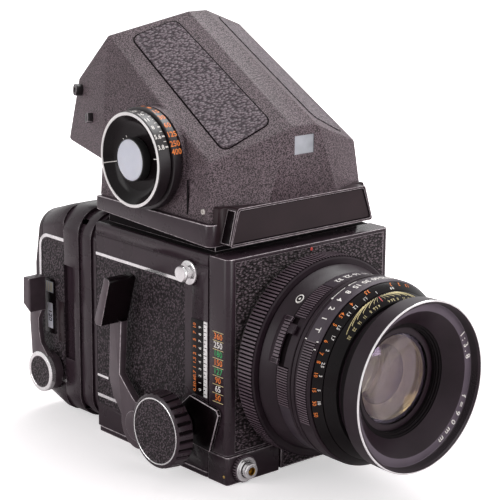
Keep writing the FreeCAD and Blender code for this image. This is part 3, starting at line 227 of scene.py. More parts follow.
# engraving filled with paint, one finish for each colour: flat and a little uneven
for name, low, high, rough in (
        ("whiteFilling", "#ded8d4", "#f2eeea", 0.45), ("orangeFilling", "#d8691f", "#ec8634", 0.45),
        ("goldFilling", "#c2b07c", "#ded09c", 0.45), ("redFilling", "#b3231c", "#d0382b", 0.35),
        ("greenFilling", "#1f8a4a", "#2fa35c", 0.45)):
    addFinish(name, low, high, 1.5, (rough, rough + 0.15))

# polished optical glass; coat is the colour that its anti-reflection layer throws back
for name, tint, ior, coat in (("coatedLensGlass", "#ded8cc", 1.6, "#c9b0e0"),
                              ("amberCoatedGlass", "#cfc0a4", 1.6, "#e8c9a0"),
                              ("prismGlass", "#eef0ee", 1.52, "#ffffff")):
    material, tree, shader, place = newMaterial(name)
    shader.inputs["IOR"].default_value = ior
    shader.inputs["Transmission Weight"].default_value = 1
    shader.inputs["Specular Tint"].default_value = hexColour(coat)
    film = addNoise(tree, 9, 3, place).outputs["Fac"]
    tree.links.new(mixColours(tree, film, tint, "#ffffff"), shader.inputs["Base Color"])
    tree.links.new(addRange(tree, film, 0, 0.03), shader.inputs["Roughness"])
    finishes[name] = material
print("finishes ready:", len(finishes))


def axes(origin, right, up):
    right, up = Vector(right).normalized(), Vector(up).normalized()
    return Matrix.Translation(origin) @ Matrix((right, up, right.cross(up))).transposed().to_4x4()


def rightSide(x, y, z):
    # axes of a part on the camera's right side, which faces -X: its own z runs out of that side
    return axes((x, y, z), (0, -1, 0), (0, 0, 1))


lensAxes = axes((0, 0, lensZ), (1, 0, 0), (0, 0, 1))  # its own z runs out of the lens


def finishPiece(name, bm, body, materials, place=None, replaced=(), sharp=30):
    if place is not None:
        bmesh.ops.transform(bm, matrix=place, verts=bm.verts)
    bmesh.ops.transform(bm, matrix=toFrame, verts=bm.verts)
    mesh = bpy.data.meshes.new(name)
    bm.to_mesh(mesh)
    bm.free()
    mesh.shade_smooth()
    mesh.set_sharp_from_angle(angle=radians(sharp))
    for material in materials:
        mesh.materials.append(finishes[material])
    piece = bpy.data.objects.new(name, mesh)
    bpy.context.scene.collection.objects.link(piece)
    if body:
        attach(piece, body)
    if replaced:
        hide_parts(*replaced)
    return piece


def turnedSolid(profile, steps, start=0, sweep=360):
    # profile is the section's outline in (height, radius); it may begin and end on the axis, and less
    # than a full turn is closed at both ends
    bm = bmesh.new()
    points = [bm.verts.new((radius, 0, height)) for height, radius in profile]
    pairs = list(zip(points, points[1:]))
    if profile[0][1] > 0 or profile[-1][1] > 0:
        pairs.append((points[-1], points[0]))
    lines = [bm.edges.new(pair) for pair in pairs]
    bmesh.ops.rotate(bm, cent=(0, 0, 0), matrix=Matrix.Rotation(radians(start), 3, "Z"), verts=points)
    bmesh.ops.spin(bm, geom=points + lines, cent=(0, 0, 0), axis=(0, 0, 1), angle=radians(sweep), steps=steps,
                   use_merge=sweep == 360, use_duplicate=False)
    bmesh.ops.remove_doubles(bm, verts=bm.verts, dist=0.0005)
    if sweep < 360:
        bmesh.ops.holes_fill(bm, edges=[e for e in bm.edges if e.is_boundary])
    bmesh.ops.recalc_face_normals(bm, faces=bm.faces)
    return bm


def turnedPiece(name, profile, steps, body, finish, place, replaced=(), sharp=30):
    finishPiece(name, turnedSolid(profile, steps), body, [finish], place, replaced, sharp)


def bevel(bm, geom, width, segments, affect="EDGES"):
    made = bmesh.ops.bevel(bm, geom=geom, offset=width, offset_type="OFFSET", segments=segments, profile=0.5,
                           affect=affect, clamp_overlap=True, material=-1)
    return made["faces"]


def softenEdges(bm, width, segments=2, angle=30, wornHighlight=None):
    # rounds the edges that stand out by more than angle; the new faces take the finish with the index given,
    # which paints wear and a highlight along them
    edges = [e for e in bm.edges
             if len(e.link_faces) == 2 and e.is_convex and e.calc_face_angle(0) > radians(angle)]
    made = bevel(bm, edges, width, segments)
    if wornHighlight is not None:
        for face in made:
            face.material_index = wornHighlight


def thicken(bm, vec):
    # draws all faces out by vec into a solid
    made = bmesh.ops.extrude_face_region(bm, geom=list(bm.faces))
    bmesh.ops.translate(bm, vec=vec, verts=[v for v in made["geom"] if isinstance(v, bmesh.types.BMVert)])
    bmesh.ops.recalc_face_normals(bm, faces=bm.faces)


def prism(points, depth, corners=None):
    # flat outline raised by depth along its own z; corners gives a radius for chosen corners
    bm = bmesh.new()
    bm.faces.new([bm.verts.new((x, y, 0)) for x, y in points])
    thicken(bm, (0, 0, depth))
    for index, radius in (corners or {}).items():
        x, y = points[index]
        upright = [e for e in bm.edges
                   if all(abs(v.co.x - x) < 0.001 and abs(v.co.y - y) < 0.001 for v in e.verts)]
        bevel(bm, upright, radius, 8)
    bmesh.ops.recalc_face_normals(bm, faces=bm.faces)
    return bm


def mirrored(bm):
    bmesh.ops.scale(bm, vec=(-1, 1, 1), verts=bm.verts)
    bmesh.ops.reverse_faces(bm, faces=bm.faces)


fullTurn = ((0, 360),)


def inArcs(angle, arcs):
    return any((angle - start) % 360 <= (end - start) for start, end in arcs)


def facesIn(bm, heights, radii, arcs):
    # (face, angle) for a turned piece's faces whose middle lies in these ranges
    found = []
    for face in bm.faces:
        middle = face.calc_center_median()
        angle = degrees(atan2(middle.y, middle.x)) % 360
        within = heights[0] < middle.z < heights[1] and radii[0] < middle.xy.length < radii[1]
        if within and inArcs(angle, arcs):
            found.append((face, angle))
    return found


def paintFaces(bm, index, heights, radii, arcs=fullTurn):
    for face, angle in facesIn(bm, heights, radii, arcs):
        face.material_index = index


def raiseRibs(bm, low, high, radius, depth, steps, arcs=fullTurn, every=2, between=None, tops=None):
    # stands every so many faces of a turned band out by depth, only inside the arcs; the faces
    # between them and the ribs' tops take the finishes with those indices
    chosen = []
    for face, angle in facesIn(bm, (low, high), (radius, inf), arcs):
        if int(angle / 360 * steps) % every == 0:
            chosen.append(face)
        elif between is not None:
            face.material_index = between
    made = bmesh.ops.extrude_discrete_faces(bm, faces=chosen)
    for face in made["faces"]:
        if tops is not None:
            face.material_index = tops
        for vert in face.verts:
            vert.co.xy *= 1 + depth / vert.co.xy.length


def flute(bm, count, depth, low, high, radius, land):
    # presses straight grooves into a turned rim; land is the share of each pitch left standing
    for vert in bm.verts:
        if low < vert.co.z < high and vert.co.xy.length > radius:
            share = (atan2(vert.co.y, vert.co.x) / (2 * pi) * count) % 1
            if share > land:
                bump = sin((share - land) / (1 - land) * pi) ** 0.6
                vert.co.xy *= 1 - depth * bump / vert.co.xy.length
    # the grooves' faces take the finish at index 1, painted shade
    for face, angle in facesIn(bm, (low, high), (radius - depth, inf), fullTurn):
        if land + 0.08 < (angle / 360 * count) % 1 < 0.94:
            face.material_index = 1


def addTo(bm, other):
    mesh = bpy.data.meshes.new("joined")
    other.to_mesh(mesh)
    other.free()
    bm.from_mesh(mesh)
    bpy.data.meshes.remove(mesh)


def copyOfNode(node):
    # a merged copy of a node's loose triangles, in millimetres, with flat faces whole again
    bm = bmesh.new()
    bm.from_mesh(frame["nodes"][node].data)
    bmesh.ops.transform(bm, matrix=toFrame.inverted(), verts=bm.verts)
    bmesh.ops.remove_doubles(bm, verts=bm.verts, dist=0.002)
    bmesh.ops.dissolve_limit(bm, angle_limit=radians(0.4), use_dissolve_boundaries=False, verts=bm.verts,
                             edges=bm.edges, delimit=set())
    return bm


def bodyOf(node):
    return frame["nodes"][node]["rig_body"]


def dressNode(node, finish, width, glossAbove=inf):
    # its edges are rounded by width, worn and painted light as a highlight; above the height glossAbove all
    # but its sides are gloss
    bm = copyOfNode(node)
    if not width:
        finishPiece(node + "Cast", bm, bodyOf(node), [finish], None, (node,), 24)
        return
    softenEdges(bm, width, wornHighlight=1)
    bm.normal_update()
    # the sides, left in the lighter finish while the other faces turn dark gloss, are a painted highlight
    for face in bm.faces:
        if abs(face.normal.x) < 0.6 and face.calc_center_median().z > glossAbove:
            face.material_index = 2
    finishPiece(node + "Cast", bm, bodyOf(node), [finish, "wornEdgeHighlight", "glossEnamel"], None, (node,), 32)


def keepNode(node, finish):
    mesh = frame["nodes"][node].data
    mesh.materials.clear()
    mesh.materials.append(finishes[finish])


# figures and marks, printed or engraved and filled
figureThick = 0.03


def addFigure(bm, text, size, toPlace):
    # toPlace takes a point of the flat figure, x along it and y up it, to its place on the camera
    curve = bpy.data.curves.new("figure", "FONT")
    curve.body = text
    curve.size = size / 0.7  # the font's figures are 0.7 of its size tall
    curve.align_x = "CENTER"
    curve.align_y = "CENTER"
    curve.extrude = figureThick
    curve.offset = 0.02 * size
    curve.resolution_u = 2
    holder = bpy.data.objects.new("figure", curve)
    bpy.context.scene.collection.objects.link(holder)
    bpy.context.view_layer.update()
    mesh = bpy.data.meshes.new_from_object(holder)
    bpy.data.objects.remove(holder)
    bpy.data.curves.remove(curve)
    part = bmesh.new()
    part.from_mesh(mesh)
    bpy.data.meshes.remove(mesh)
    bmesh.ops.remove_doubles(part, verts=part.verts, dist=0.0005)
    for vert in part.verts:
        vert.co = toPlace(*vert.co)
    bmesh.ops.recalc_face_normals(part, faces=part.faces)
    addTo(bm, part)


def addStroke(bm, length, width, toPlace, cuts=0):
    part = bmesh.new()
    bmesh.ops.create_cube(part, size=1)
    if cuts:
        along = [e for e in part.edges if abs(e.verts[0].co.x - e.verts[1].co.x) > 0.5]
        bmesh.ops.subdivide_edges(part, edges=along, cuts=cuts, use_grid_fill=True)
    for vert in part.verts:
        vert.co = toPlace(vert.co.x * length, vert.co.y * width, vert.co.z * figureThick * 2)
    bmesh.ops.recalc_face_normals(part, faces=part.faces)
    addTo(bm, part)


def onRing(place, angle, height, slope, upright=True):
    # place on a turned ring: slope is ((height, radius), (height, radius)) of the band; an upright
    # figure's top points out along the ring's axis, another is read along the axis
    (h0, r0), (h1, r1) = slope
    lean = hypot(h1 - h0, r1 - r0)

    def toPlace(x, y, z):
        if not upright:
            turn = radians(angle) + y / r0
            return place @ Vector(((r0 + z) * cos(turn), (r0 + z) * sin(turn), height - x))
        h = height + y * (h1 - h0) / lean
        radius = r0 + (r1 - r0) * (h - h0) / (h1 - h0) + z
        turn = radians(angle) + x / radius
        return place @ Vector((radius * cos(turn), radius * sin(turn), h))
    return toPlace


def onSide(x, y, z, turn=0):
    # place on the camera's right side, turned about the figure's middle
    place = rightSide(x, y, z) @ Matrix.Rotation(radians(turn), 4, "Z")
    return lambda across, up, out: place @ Vector((across, up, out))


def markPiece(name, body, finish, rows):
    # rows are (text, size, place) for a figure and (length, width, place, cuts) for a stroke
    bm = bmesh.new()
    for row in rows:
        add = addFigure if isinstance(row[0], str) else addStroke
        add(bm, *row)
    finishPiece(name, bm, body, [finish], sharp=32)


def ringFigures(name, place, body, slope, finish, rows, size, upright=True):
    # rows are (text, angle, height)
    markPiece(name, body, finish, [(text, size, onRing(place, angle, height, slope, upright))
                                   for text, angle, height in rows])


print("shaping tools ready")

# the lens is turned about its own axis; heights are millimetres in front of the standard's face
lens = {"steps": 288, "breechRibs": 168, "fineRibs": 228, "speedStart": 142.5, "speedStep": 7.6,
        "rightArc": (-21.3, 29.8), "leftArc": (150.2, 201.3)}

# ribbed bands below: painted shade between the ribs and a painted highlight on their tops
# breech ring: broad ribs right across, cut off square at the front
steps = 2 * lens["breechRibs"]
bm = turnedSolid([(3.3, 43.5), (3.3, 48.2), (3.6, 48.4), (12.9, 48.4), (13.5, 47.6), (13.5, 43.5)], steps)
raiseRibs(bm, 3.6, 12.9, 48, 0.55, steps, between=1, tops=2)
finishPiece("breechRing", bm, "lens_breech", ["blastedAnodising", "grooveShadow", "ribTopHighlight"], lensAxes,
            ("breech_ring",), 25)

# barrel: rear tube, flared skirt, rings' seat, depth scale cone and neck
bm = turnedSolid([(-12.5, 25), (-12.5, 35), (2.9, 35), (2.9, 43.3), (13.6, 43.3), (13.8, 45), (14.2, 45.15),
                  (18, 43.85), (22.5, 42.7), (22.8, 42.5), (22.8, 39), (46.5, 39), (46.5, 37.1), (50.9, 37.1),
                  (50.9, 39.7), (51.1, 39.8), (55.4, 36.4), (55.6, 36.1), (55.6, 34.5), (56.5, 34.5),
                  (56.5, 21.5), (28, 21.5), (28, 30), (18, 30), (18, 25)], lens["steps"])
paintFaces(bm, 1, (-20, 56), (0, 35.5))
paintFaces(bm, 2, (50.8, 55.7), (36, 50))
finishPiece("lensBarrel", bm, "standard", ["blastedAnodising", "mattLightTrap", "glossEnamel"], lensAxes,
            ("lens_barrel",), 25)

# guard over the aperture ring: a ribbed strip with a tab at each end; the flash contact slider is beside it
guard = {"start": 140, "end": 169, "low": 43.9, "high": 44.6, "near": 21.4, "far": 25.2, "tab": 3.2,
         "tabHigh": 45.4}
bm = turnedSolid([(18.2, 41.6), (18.2, 43.9), (21.4, 44.1), (guard["near"], guard["high"]),
                  (guard["far"], guard["high"]), (guard["far"], guard["low"]), (22.9, guard["low"]),
                  (22.8, 41.6)], 44, guard["start"], guard["end"] - guard["start"])
raiseRibs(bm, guard["near"], guard["far"], guard["high"] - 0.1, 0.35, 360,
          ((guard["start"] + guard["tab"], guard["end"] - guard["tab"]),), between=2, tops=1)
near, far = guard["near"] - 0.4, guard["far"] + 0.3
for start in (guard["start"], guard["end"] - guard["tab"]):
    tab = turnedSolid([(near, guard["low"]), (near, guard["tabHigh"]), (far, guard["tabHigh"]),
                       (far, guard["low"])], 6, start, guard["tab"])
    softenEdges(tab, 0.35, angle=40, wornHighlight=1)
    addTo(bm, tab)
finishPiece("sliderGuard", bm, "standard", ["blastedAnodising", "ribTopHighlight", "grooveShadow"], lensAxes)
bm = turnedSolid([(25.7, 43.9), (25.7, 45.2), (26.2, 45.7), (29.6, 45.7), (30.1, 45.2), (30.1, 43.9)],
                 5, 144, 6)
softenEdges(bm, 0.3, angle=40)
finishPiece("contactSlider", bm, "sync_selector", ["blastedAnodising"], lensAxes, ("sync_lever",))

# aperture ring: fine ribs left and right, smooth and figured on top
steps = 2 * lens["fineRibs"]
bm = turnedSolid([(23.4, 39.1), (23.4, 42.8), (23.8, 43.1), (24.4, 43.1), (27.8, 43.1), (31.2, 43.1),
                  (31.6, 43.6), (32.9, 43.6), (33.2, 43.3), (33.2, 39.1)], steps)
raiseRibs(bm, 24.4, 31.2, 43, 0.45, steps, ((111, 138.5), (169.5, 196), (-16, 69)), between=1, tops=2)
raiseRibs(bm, 24.4, 31.2, 43, 0.12, steps, ((69.1, 110.9), (196.1, 343.9)), every=1, tops=3)
# the slot beside the guard is painted dark as shade
paintFaces(bm, 1, (23.4, 28), (42, 50), ((139, 169.4),))
finishPiece("apertureRing", bm, "aperture_control",
            ["blastedAnodising", "grooveShadow", "ribTopHighlight", "greyAnodising"],
            lensAxes, ("aperture_ring",), 25)

# speed ring: grey band on top, fine ribs at both sides
bm = turnedSolid([(34, 39.1), (34, 43.6), (34.4, 44), (36.2, 44), (36.4, 43.6), (38.2, 43.6), (38.4, 44.1),
                  (44.6, 44.1), (45.2, 44.1), (46.2, 43.3), (46.2, 39.1)], steps)
raiseRibs(bm, 38.4, 44.6, 44, 0.38, steps, (lens["leftArc"], lens["rightArc"]), between=2, tops=3)
paintFaces(bm, 1, (38.3, 50), (43.2, 50), ((lens["rightArc"][1], lens["leftArc"][0]),))
finishPiece("speedRing", bm, "shutter_control",
            ["blastedAnodising", "greyAnodising", "grooveShadow", "ribTopHighlight"],
            lensAxes, ("shutter_ring",), 25)

# distance ring: gloss black cone
turnedPiece("distanceRing", [(46.8, 37.2), (46.8, 43), (47, 43.1), (50.4, 40.3), (50.6, 40), (50.6, 37.2)],
            lens["steps"], "distance_control", "glossEnamel", lensAxes, ("distance_ring",), 25)

# front ring with the filter thread, the bare name ring, the cone and the stepped light trap
thread = []
for index in range(5):
    thread += [(72.6 - index * 0.75, 38.5), (72.25 - index * 0.75, 38.9)]
bm = turnedSolid([(56.5, 24.5), (56.5, 34.5), (63.5, 34.5), (63.5, 39.3), (64.1, 40), (73, 40.4),
                  (73.4, 40.1), (73.4, 39.6), (72.9, 39)] + thread +
                 [(68.6, 38.2), (68.4, 37.9), (68.3, 34.2), (68, 33.8), (61, 27.4), (60.6, 27), (60, 27),
                  (60, 26), (59.2, 26), (59.2, 25), (58.4, 25), (58.4, 24.5)], lens["steps"])
paintFaces(bm, 1, (56, 80), (0, 27.1))
paintFaces(bm, 1, (56, 63.6), (34, 50))
paintFaces(bm, 2, (73.1, 80), (39.5, 50))
paintFaces(bm, 3, (68, 68.6), (34, 38.3))
finishPiece("frontRing", bm, "standard",
            ["blastedAnodising", "mattLightTrap", "chromiumPlate", "nameRingAnodising"],
            lensAxes, ("filter_ring",), 25)


def lensElement(name, front, radius, bulge, thick, finish, replaced=(), hollow=0):
    # one polished element: a domed front and a hollow or domed back, both drawn as arcs
    def cap(height, rise):
        shares = [index / 12 for index in range(13)]
        return [(height + rise * (1 - share * share), radius * share) for share in shares]
    profile = cap(front - bulge, bulge) + list(reversed(cap(front - bulge - thick, hollow)))
    turnedPiece(name, profile, 96, "standard", finish, lensAxes, replaced, 40)


lensElement("frontElement", 60.2, 21.4, 3.4, 4, "coatedLensGlass", ("front_glass",))
lensElement("secondElement", 50, 19, -2, 4.5, "amberCoatedGlass", (), 1)
lensElement("thirdElement", 40, 12.6, 1.5, 3, "coatedLensGlass", (), -1)
lensElement("rearElement", -4.2, 24.9, -2.5, 5, "amberCoatedGlass", ("rear_glass",), -3)
bm = turnedSolid([(54.6, 21.45), (54.6, 20.8), (52, 20.2), (47.4, 19.3), (45.6, 13.9), (45.2, 13.4), (41, 13),
                  (40.6, 12.7), (35.6, 12.6), (35, 10.4), (34.6, 10.1), (31, 10), (31, 21.45)], 96)
paintFaces(bm, 1, (45.2, 47.4), (13.3, 19.3))
paintFaces(bm, 1, (34.6, 35.6), (10.1, 12.7))
finishPiece("elementSeat", bm, "standard", ["mattLightTrap", "retainerGrey"], lensAxes)
print("lens turned")

# body, finder and film back, from the construction's own shapes; a width rounds their edges, which are worn
# and painted light as a highlight
for finish, castings in {
        "sprayedSatinEnamel": {"side_cover_right": 0, "side_cover_left": 0, "base_plate": 0.5,
                               "release_block": 0.5, "finder_base": 0.4, "front_standard": 0.55,
                               "revolving_adapter": 0.5, "film_holder": 0.4, "back_door": 0},
        "chromiumPlate": {"accessory_shoe": 0.3, "holder_latches": 0.3, "strap_lugs": 0.15},
        "groundSteel": {"dark_slide": 0.25, "tripod_bush": 0.4}, "mattLightTrap": {"finder_mount": 0.3},
        "glossEnamel": {"focus_lock_lever": 0.4}, "plateEnamel": {"nameplate": 0},
        "leverEnamel": {"wind_lever": 0.5}, "dialEnamel": {"meter_fittings": 0.15},
        "mouldedPlastic": {"eyepiece": 0}, "satinNickel": {"lens_mount_ring": 0.3}}.items():
    for node, width in castings.items():
        dressNode(node, finish, width)
paddleFoot = 64.6
dressNode("cocking_lever", "leverEnamel", 1, paddleFoot)
# finder housing: die casting with rounded folds, crinkled all over
finishPiece("finderCast", copyOfNode("finder_housing"), "body", ["crinkleEnamel"], None,
            ("finder_housing",), 24)
finishPiece("roofLeather", copyOfNode("finder_leather"), "body", ["coarseLeathercloth"], None,
            ("finder_leather",))

# the rest keep the construction's own mesh
for finish, nodes in {
        "mattLightTrap": ("body_housing", "mirror_carrier", "light_baffle"),
        "fineLeathercloth": ("side_leather",), "frontLeathercloth": ("front_leather",),
        "chromiumPlate": ("chrome_lines",), "opalAcrylic": ("focusing_screen",),
        "silveredGlass": ("mirror_glass",),
        "groundSteel": ("focus_shaft", "pressure_plate"), "milledBrass": ("focus_racks",),
        "prismGlass": ("prism_glass",), "frostedWindow": ("front_window",),
        "coatedLensGlass": ("eyepiece_lens",), "mouldedPlastic": ("supply_spool", "takeup_spool"),
        "bluedSteel": ("shutter_blades", "iris_blades")}.items():
    for node in nodes:
        keepNode(node, finish)
print("castings dressed")


def outlineBand(points, radius, width, thick, outward, outset=False):
    # flat band along an outline with rounded corners, raised by thick from the outline's plane
    bm = bmesh.new()
    bm.faces.new([bm.verts.new(p) for p in points])
    if radius:
        bevel(bm, list(bm.verts), radius, 8, "VERTICES")
    bm.normal_update()
    band = bmesh.ops.inset_individual(bm, faces=list(bm.faces), thickness=-width if outset else width,
                                      use_even_offset=True)
    middle = [f for f in bm.faces if f not in band["faces"]]
    bmesh.ops.delete(bm, geom=middle, context="FACES")
    thicken(bm, outward * thick)
    return bm


# roof leather's groove round each panel, drawn as a dark band of painted shade
lift = 0.02
groove = {"width": 0.7, "thick": 0.05, "corners": [(34.5, 93.3), (13.4, 85.5), (13.4, 14.8), (37.9, 19.6)],
          "radius": 4, "slope": 0.58, "foot": 161.5, "spine": 7.5}
roofNormal = Vector((groove["slope"], -groove["slope"], 1)).normalized()
for side in ("Left", "Right"):
    points = [Vector((x, y, groove["foot"] + groove["slope"] * (y - x + groove["spine"]))) + roofNormal * lift
              for x, y in groove["corners"]]
    bm = outlineBand(points, groove["radius"], groove["width"], groove["thick"], roofNormal, True)
    if side == "Right":
        mirrored(bm)
    finishPiece("roofGrooveShade" + side, bm, "body", ["grooveShadow"])

# name plate's outer and rim edges as lines of painted highlight, painted shade in the groove inside its rim,
# and a gloss panel on each slanted end with a painted highlight round it
namePlate = {"front": 5.4, "bottom": 113.2, "height": 17.6, "low": 46, "high": 41,
             "lean": tan(radians(2.5)), "edge": 0.05, "rim": 0.3, "rimEdge": 0.08,
             "panel": ((6.6, 1.3), (12.2, 1.3), (12.2, 16), (7.3, 16))}


def plateRing(inset, out):
    # corners of the front face, drawn in by inset and forward by out
    low, high, top = namePlate["low"] - inset, namePlate["high"] - inset, namePlate["height"] - inset
    return [Vector((x, namePlate["front"] + up * namePlate["lean"] - out, namePlate["bottom"] + up))
            for x, up in ((-low, inset), (low, inset), (high, top), (-high, top))]


plateNormal = Vector((0, -1, namePlate["lean"])).normalized()
for title, inset, out, width, radius, finish in (
        ("plateEdgeHighlight", 0.05, 0, 0.3, 1.5, "wornEdgeHighlight"), ("plateRimHighlight", 0.95, 0, 0.2, 1.2, "wornEdgeHighlight"),
        ("plateGrooveShade", 1.25, -0.6, 0.45, 1, "grooveShadow")):
    bm = outlineBand(plateRing(inset, out), radius, width, namePlate["edge"], plateNormal)
    finishPiece(title, bm, "body", [finish])
slant = (namePlate["low"] - namePlate["high"]) / namePlate["height"]
endNormal = Vector((1, 0, slant)).normalized()
corners = [Vector((namePlate["low"] - slant * up, y, namePlate["bottom"] + up)) + endNormal * lift
           for y, up in namePlate["panel"]]
for side in ("Left", "Right"):
    bm = bmesh.new()
    bm.faces.new([bm.verts.new(p) for p in corners])
    thicken(bm, endNormal * namePlate["edge"])
    rim = outlineBand(corners, 0, namePlate["rim"], namePlate["rimEdge"], endNormal, True)
    for face in rim.faces:
        face.material_index = 1
    addTo(bm, rim)
    if side == "Right":
        mirrored(bm)
    finishPiece("plateEnd" + side, bm, "body", ["glossEnamel", "wornEdgeHighlight"])
print("roof and name plate trimmed")

# focus knobs: fluted rim, bright ring and leather disc
focusKnob = {"y": 28.5, "z": 24.3, "face": 63.5, "flutes": 26}
place = rightSide(-focusKnob["face"], focusKnob["y"], focusKnob["z"])
for side in ("Right", "Left"):
    name = "focusKnob" + side
    node = "focus_knob_" + side.lower()
    bm = turnedSolid([(-8.6, 4.1), (-8.6, 6.8), (-8.3, 7), (0, 7), (0, 17.6), (0.5, 18.3), (0.8, 18.6),
                      (1.2, 18.7), (7.9, 18.1), (8.3, 17.8), (8.8, 17), (9, 16.5), (8.4, 16.3), (8.4, 0)],
                     focusKnob["flutes"] * 12)
    flute(bm, focusKnob["flutes"], 1.2, 0.9, 8, 17.5, 0.5)
    ring = turnedSolid([(8.3, 15.5), (8.9, 15.55), (9, 15.7), (9, 16.1), (8.9, 16.25), (8.3, 16.3)], 96)
    disc = turnedSolid([(8.4, 0), (8.85, 0), (8.85, 15.2), (8.7, 15.4), (8.4, 15.4)], 96)
    for part, finish, title, taken in ((bm, "sprayedSatinEnamel", name, (node,)),
                                       (ring, "chromiumPlate", name + "Ring", ()),
                                       (disc, "fineLeathercloth", name + "Disc", ())):
        bmesh.ops.transform(part, matrix=place, verts=part.verts)
        if side == "Left":
            mirrored(part)
        finishPiece(title, part, bodyOf(node), [finish, "grooveShadow"], None, taken)

# shutter release: fluted collar with a chromed flange, chromed button with a brass cable socket, and
# a brass pin in the side of their block
release = {"x": -42, "z": 7, "flutes": 30, "pinY": 2.2, "pinZ": 4.2}
place = axes((release["x"], 0, release["z"]), (1, 0, 0), (0, 0, 1))
bm = turnedSolid([(0, 4), (0, 6.6), (0.3, 6.8), (1.6, 6.7), (1.9, 6.4), (1.9, 4)], 8 * release["flutes"])
flute(bm, release["flutes"], 0.5, 0.1, 1.8, 6, 0.5)
# the collar's lands take the lighter rib-top finish as a painted highlight, its flutes painted shade
finishPiece("releaseCollar", bm, "release_lock", ["ribTopHighlight", "grooveShadow"], place, ("release_collar",))
turnedPiece("releaseFlange", [(1.9, 4), (1.9, 5.8), (2.1, 6), (2.5, 6), (2.7, 5.8), (2.7, 4.7), (3.1, 4.4),
                              (3.1, 4)], 64, "release_lock", "chromiumPlate", place)
bm = turnedSolid([(-4, 1.3), (-4, 3.1), (3.6, 3.1), (3.6, 3.6), (5.2, 3.6), (5.5, 3.85), (5.8, 3.85),
                  (6.1, 3.6), (6.2, 3.2), (6.2, 2.1), (6, 1.9), (3.5, 1.9), (3.5, 1.3)], 64)
paintFaces(bm, 1, (-10, 10), (0, 2.05))
finishPiece("releaseButton", bm, "shutter_release", ["chromiumPlate", "milledBrass"], place,
            ("release_button",))
turnedPiece("blockPin", [(-0.5, 0), (-0.5, 0.7), (0.15, 0.7), (0.25, 0.5), (0.3, 0)], 24, "body",
            "milledBrass", rightSide(-52, release["pinY"], release["pinZ"]))

# film wind dial: bright ring and leather disc on the lever's pivot
place = rightSide(-58.6, 141.4, 22.8)
turnedPiece("windRing", [(-1.2, 10.4), (-1.2, 10.65), (1, 10.65), (1.35, 10.4), (1.5, 10), (1.5, 8.6),
                         (1.25, 8.2), (0, 8.2), (0, 10.4)], 96, "film_wind", "chromiumPlate", place)
turnedPiece("windDisc", [(0.5, 0), (1.5, 0), (1.45, 7.9), (1.2, 8.2), (0.5, 8.2)], 96, "film_wind",
            "fineLeathercloth", place)

# meter dial: rear ring for speeds, front ring for stops, dished face and diffuser
dialSteps = 240
dialAxes = rightSide(-62, 60, 147.8)
bm = turnedSolid([(-12.5, 4.1), (-12.5, 23.6), (-12.1, 24.2), (-11.6, 24.4), (-7.9, 24.4), (-7.5, 24.1),
                  (-7.4, 23.6), (-7.4, 4.1)], dialSteps)
raiseRibs(bm, -11.5, -8, 24, 0.12, dialSteps, ((105, 330),))
finishPiece("dialSpeedRing", bm, "meter_speed_dial", ["dialEnamel"], dialAxes, ("dial_speed_ring",), 25)
bm = turnedSolid([(-7.1, 4.1), (-7.1, 22.5), (-6.7, 22.9), (-0.9, 22.9), (-0.3, 22.6), (0, 22.1), (0, 21.4),
                  (-0.3, 21.1), (-3.6, 18.4), (-4.6, 16.8), (-5, 14.8), (-5, 4.1)], dialSteps)
paintFaces(bm, 1, (-0.55, 1), (21.1, 30))
paintFaces(bm, 2, (-10, 1), (0, 21.1))
finishPiece("dialStopRing", bm, "meter_aperture_dial", ["dialEnamel", "whiteEnamel", "glossEnamel"],
            dialAxes, ("dial_aperture_ring",), 25)
turnedPiece("dialCup", [(-12.9, 0), (-12.9, 3.9), (-4.7, 3.9), (-4.7, 10.4), (-0.8, 10.4), (-0.4, 10.2),
                        (-0.3, 9.9), (-0.8, 9.8), (-0.8, 0)],
            96, "body", "mouldedPlastic", dialAxes, ("dial_disc",))
turnedPiece("diffuser", [(-0.8, 0), (0, 0), (-0.05, 5), (-0.15, 8.2), (-0.35, 9.5), (-0.6, 9.8), (-0.8, 9.8)],
            96, "body", "opalAcrylic", dialAxes, (), 40)
print("knobs and dials turned")

# bellows, closed: square pleats of cloth over stiffeners
bellows = {"pleats": 5, "pitch": 2.1, "depth": 6.5, "front": 13, "halfX": 40.4, "low": 33.1, "high": 102.4,
           "thick": 0.4, "outerInset": 0.3}
bm = bmesh.new()
loops = []
for index in range(2 * bellows["pleats"] + 1):
    inset = bellows["depth"] if index % 2 else bellows["outerInset"]
    y = bellows["front"] + index * bellows["pitch"] / 2
    x, low, high = bellows["halfX"] - inset, bellows["low"] + inset, bellows["high"] - inset
    verts = [bm.verts.new(corner) for corner in ((-x, y, low), (x, y, low), (x, y, high), (-x, y, high))]
    loops.append([bm.edges.new((verts[i], verts[(i + 1) % 4])) for i in range(4)])
for one, other in zip(loops, loops[1:]):
    bmesh.ops.bridge_loops(bm, edges=one + other)
around = [e for e in bm.edges if abs(e.verts[0].co.y - e.verts[1].co.y) < 0.01]
bmesh.ops.subdivide_edges(bm, edges=around, cuts=5, use_grid_fill=True)
bmesh.ops.recalc_face_normals(bm, faces=bm.faces)
bmesh.ops.solidify(bm, geom=list(bm.faces), thickness=bellows["thick"])
cloth = finishPiece("bellowsCloth", bm, None, ["bellowsCloth"], None, ("bellows",), 20)
start = toFrame @ Vector((0, bellows["front"] + bellows["pleats"] * bellows["pitch"], 60))
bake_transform(cloth)
print("bellows folded")

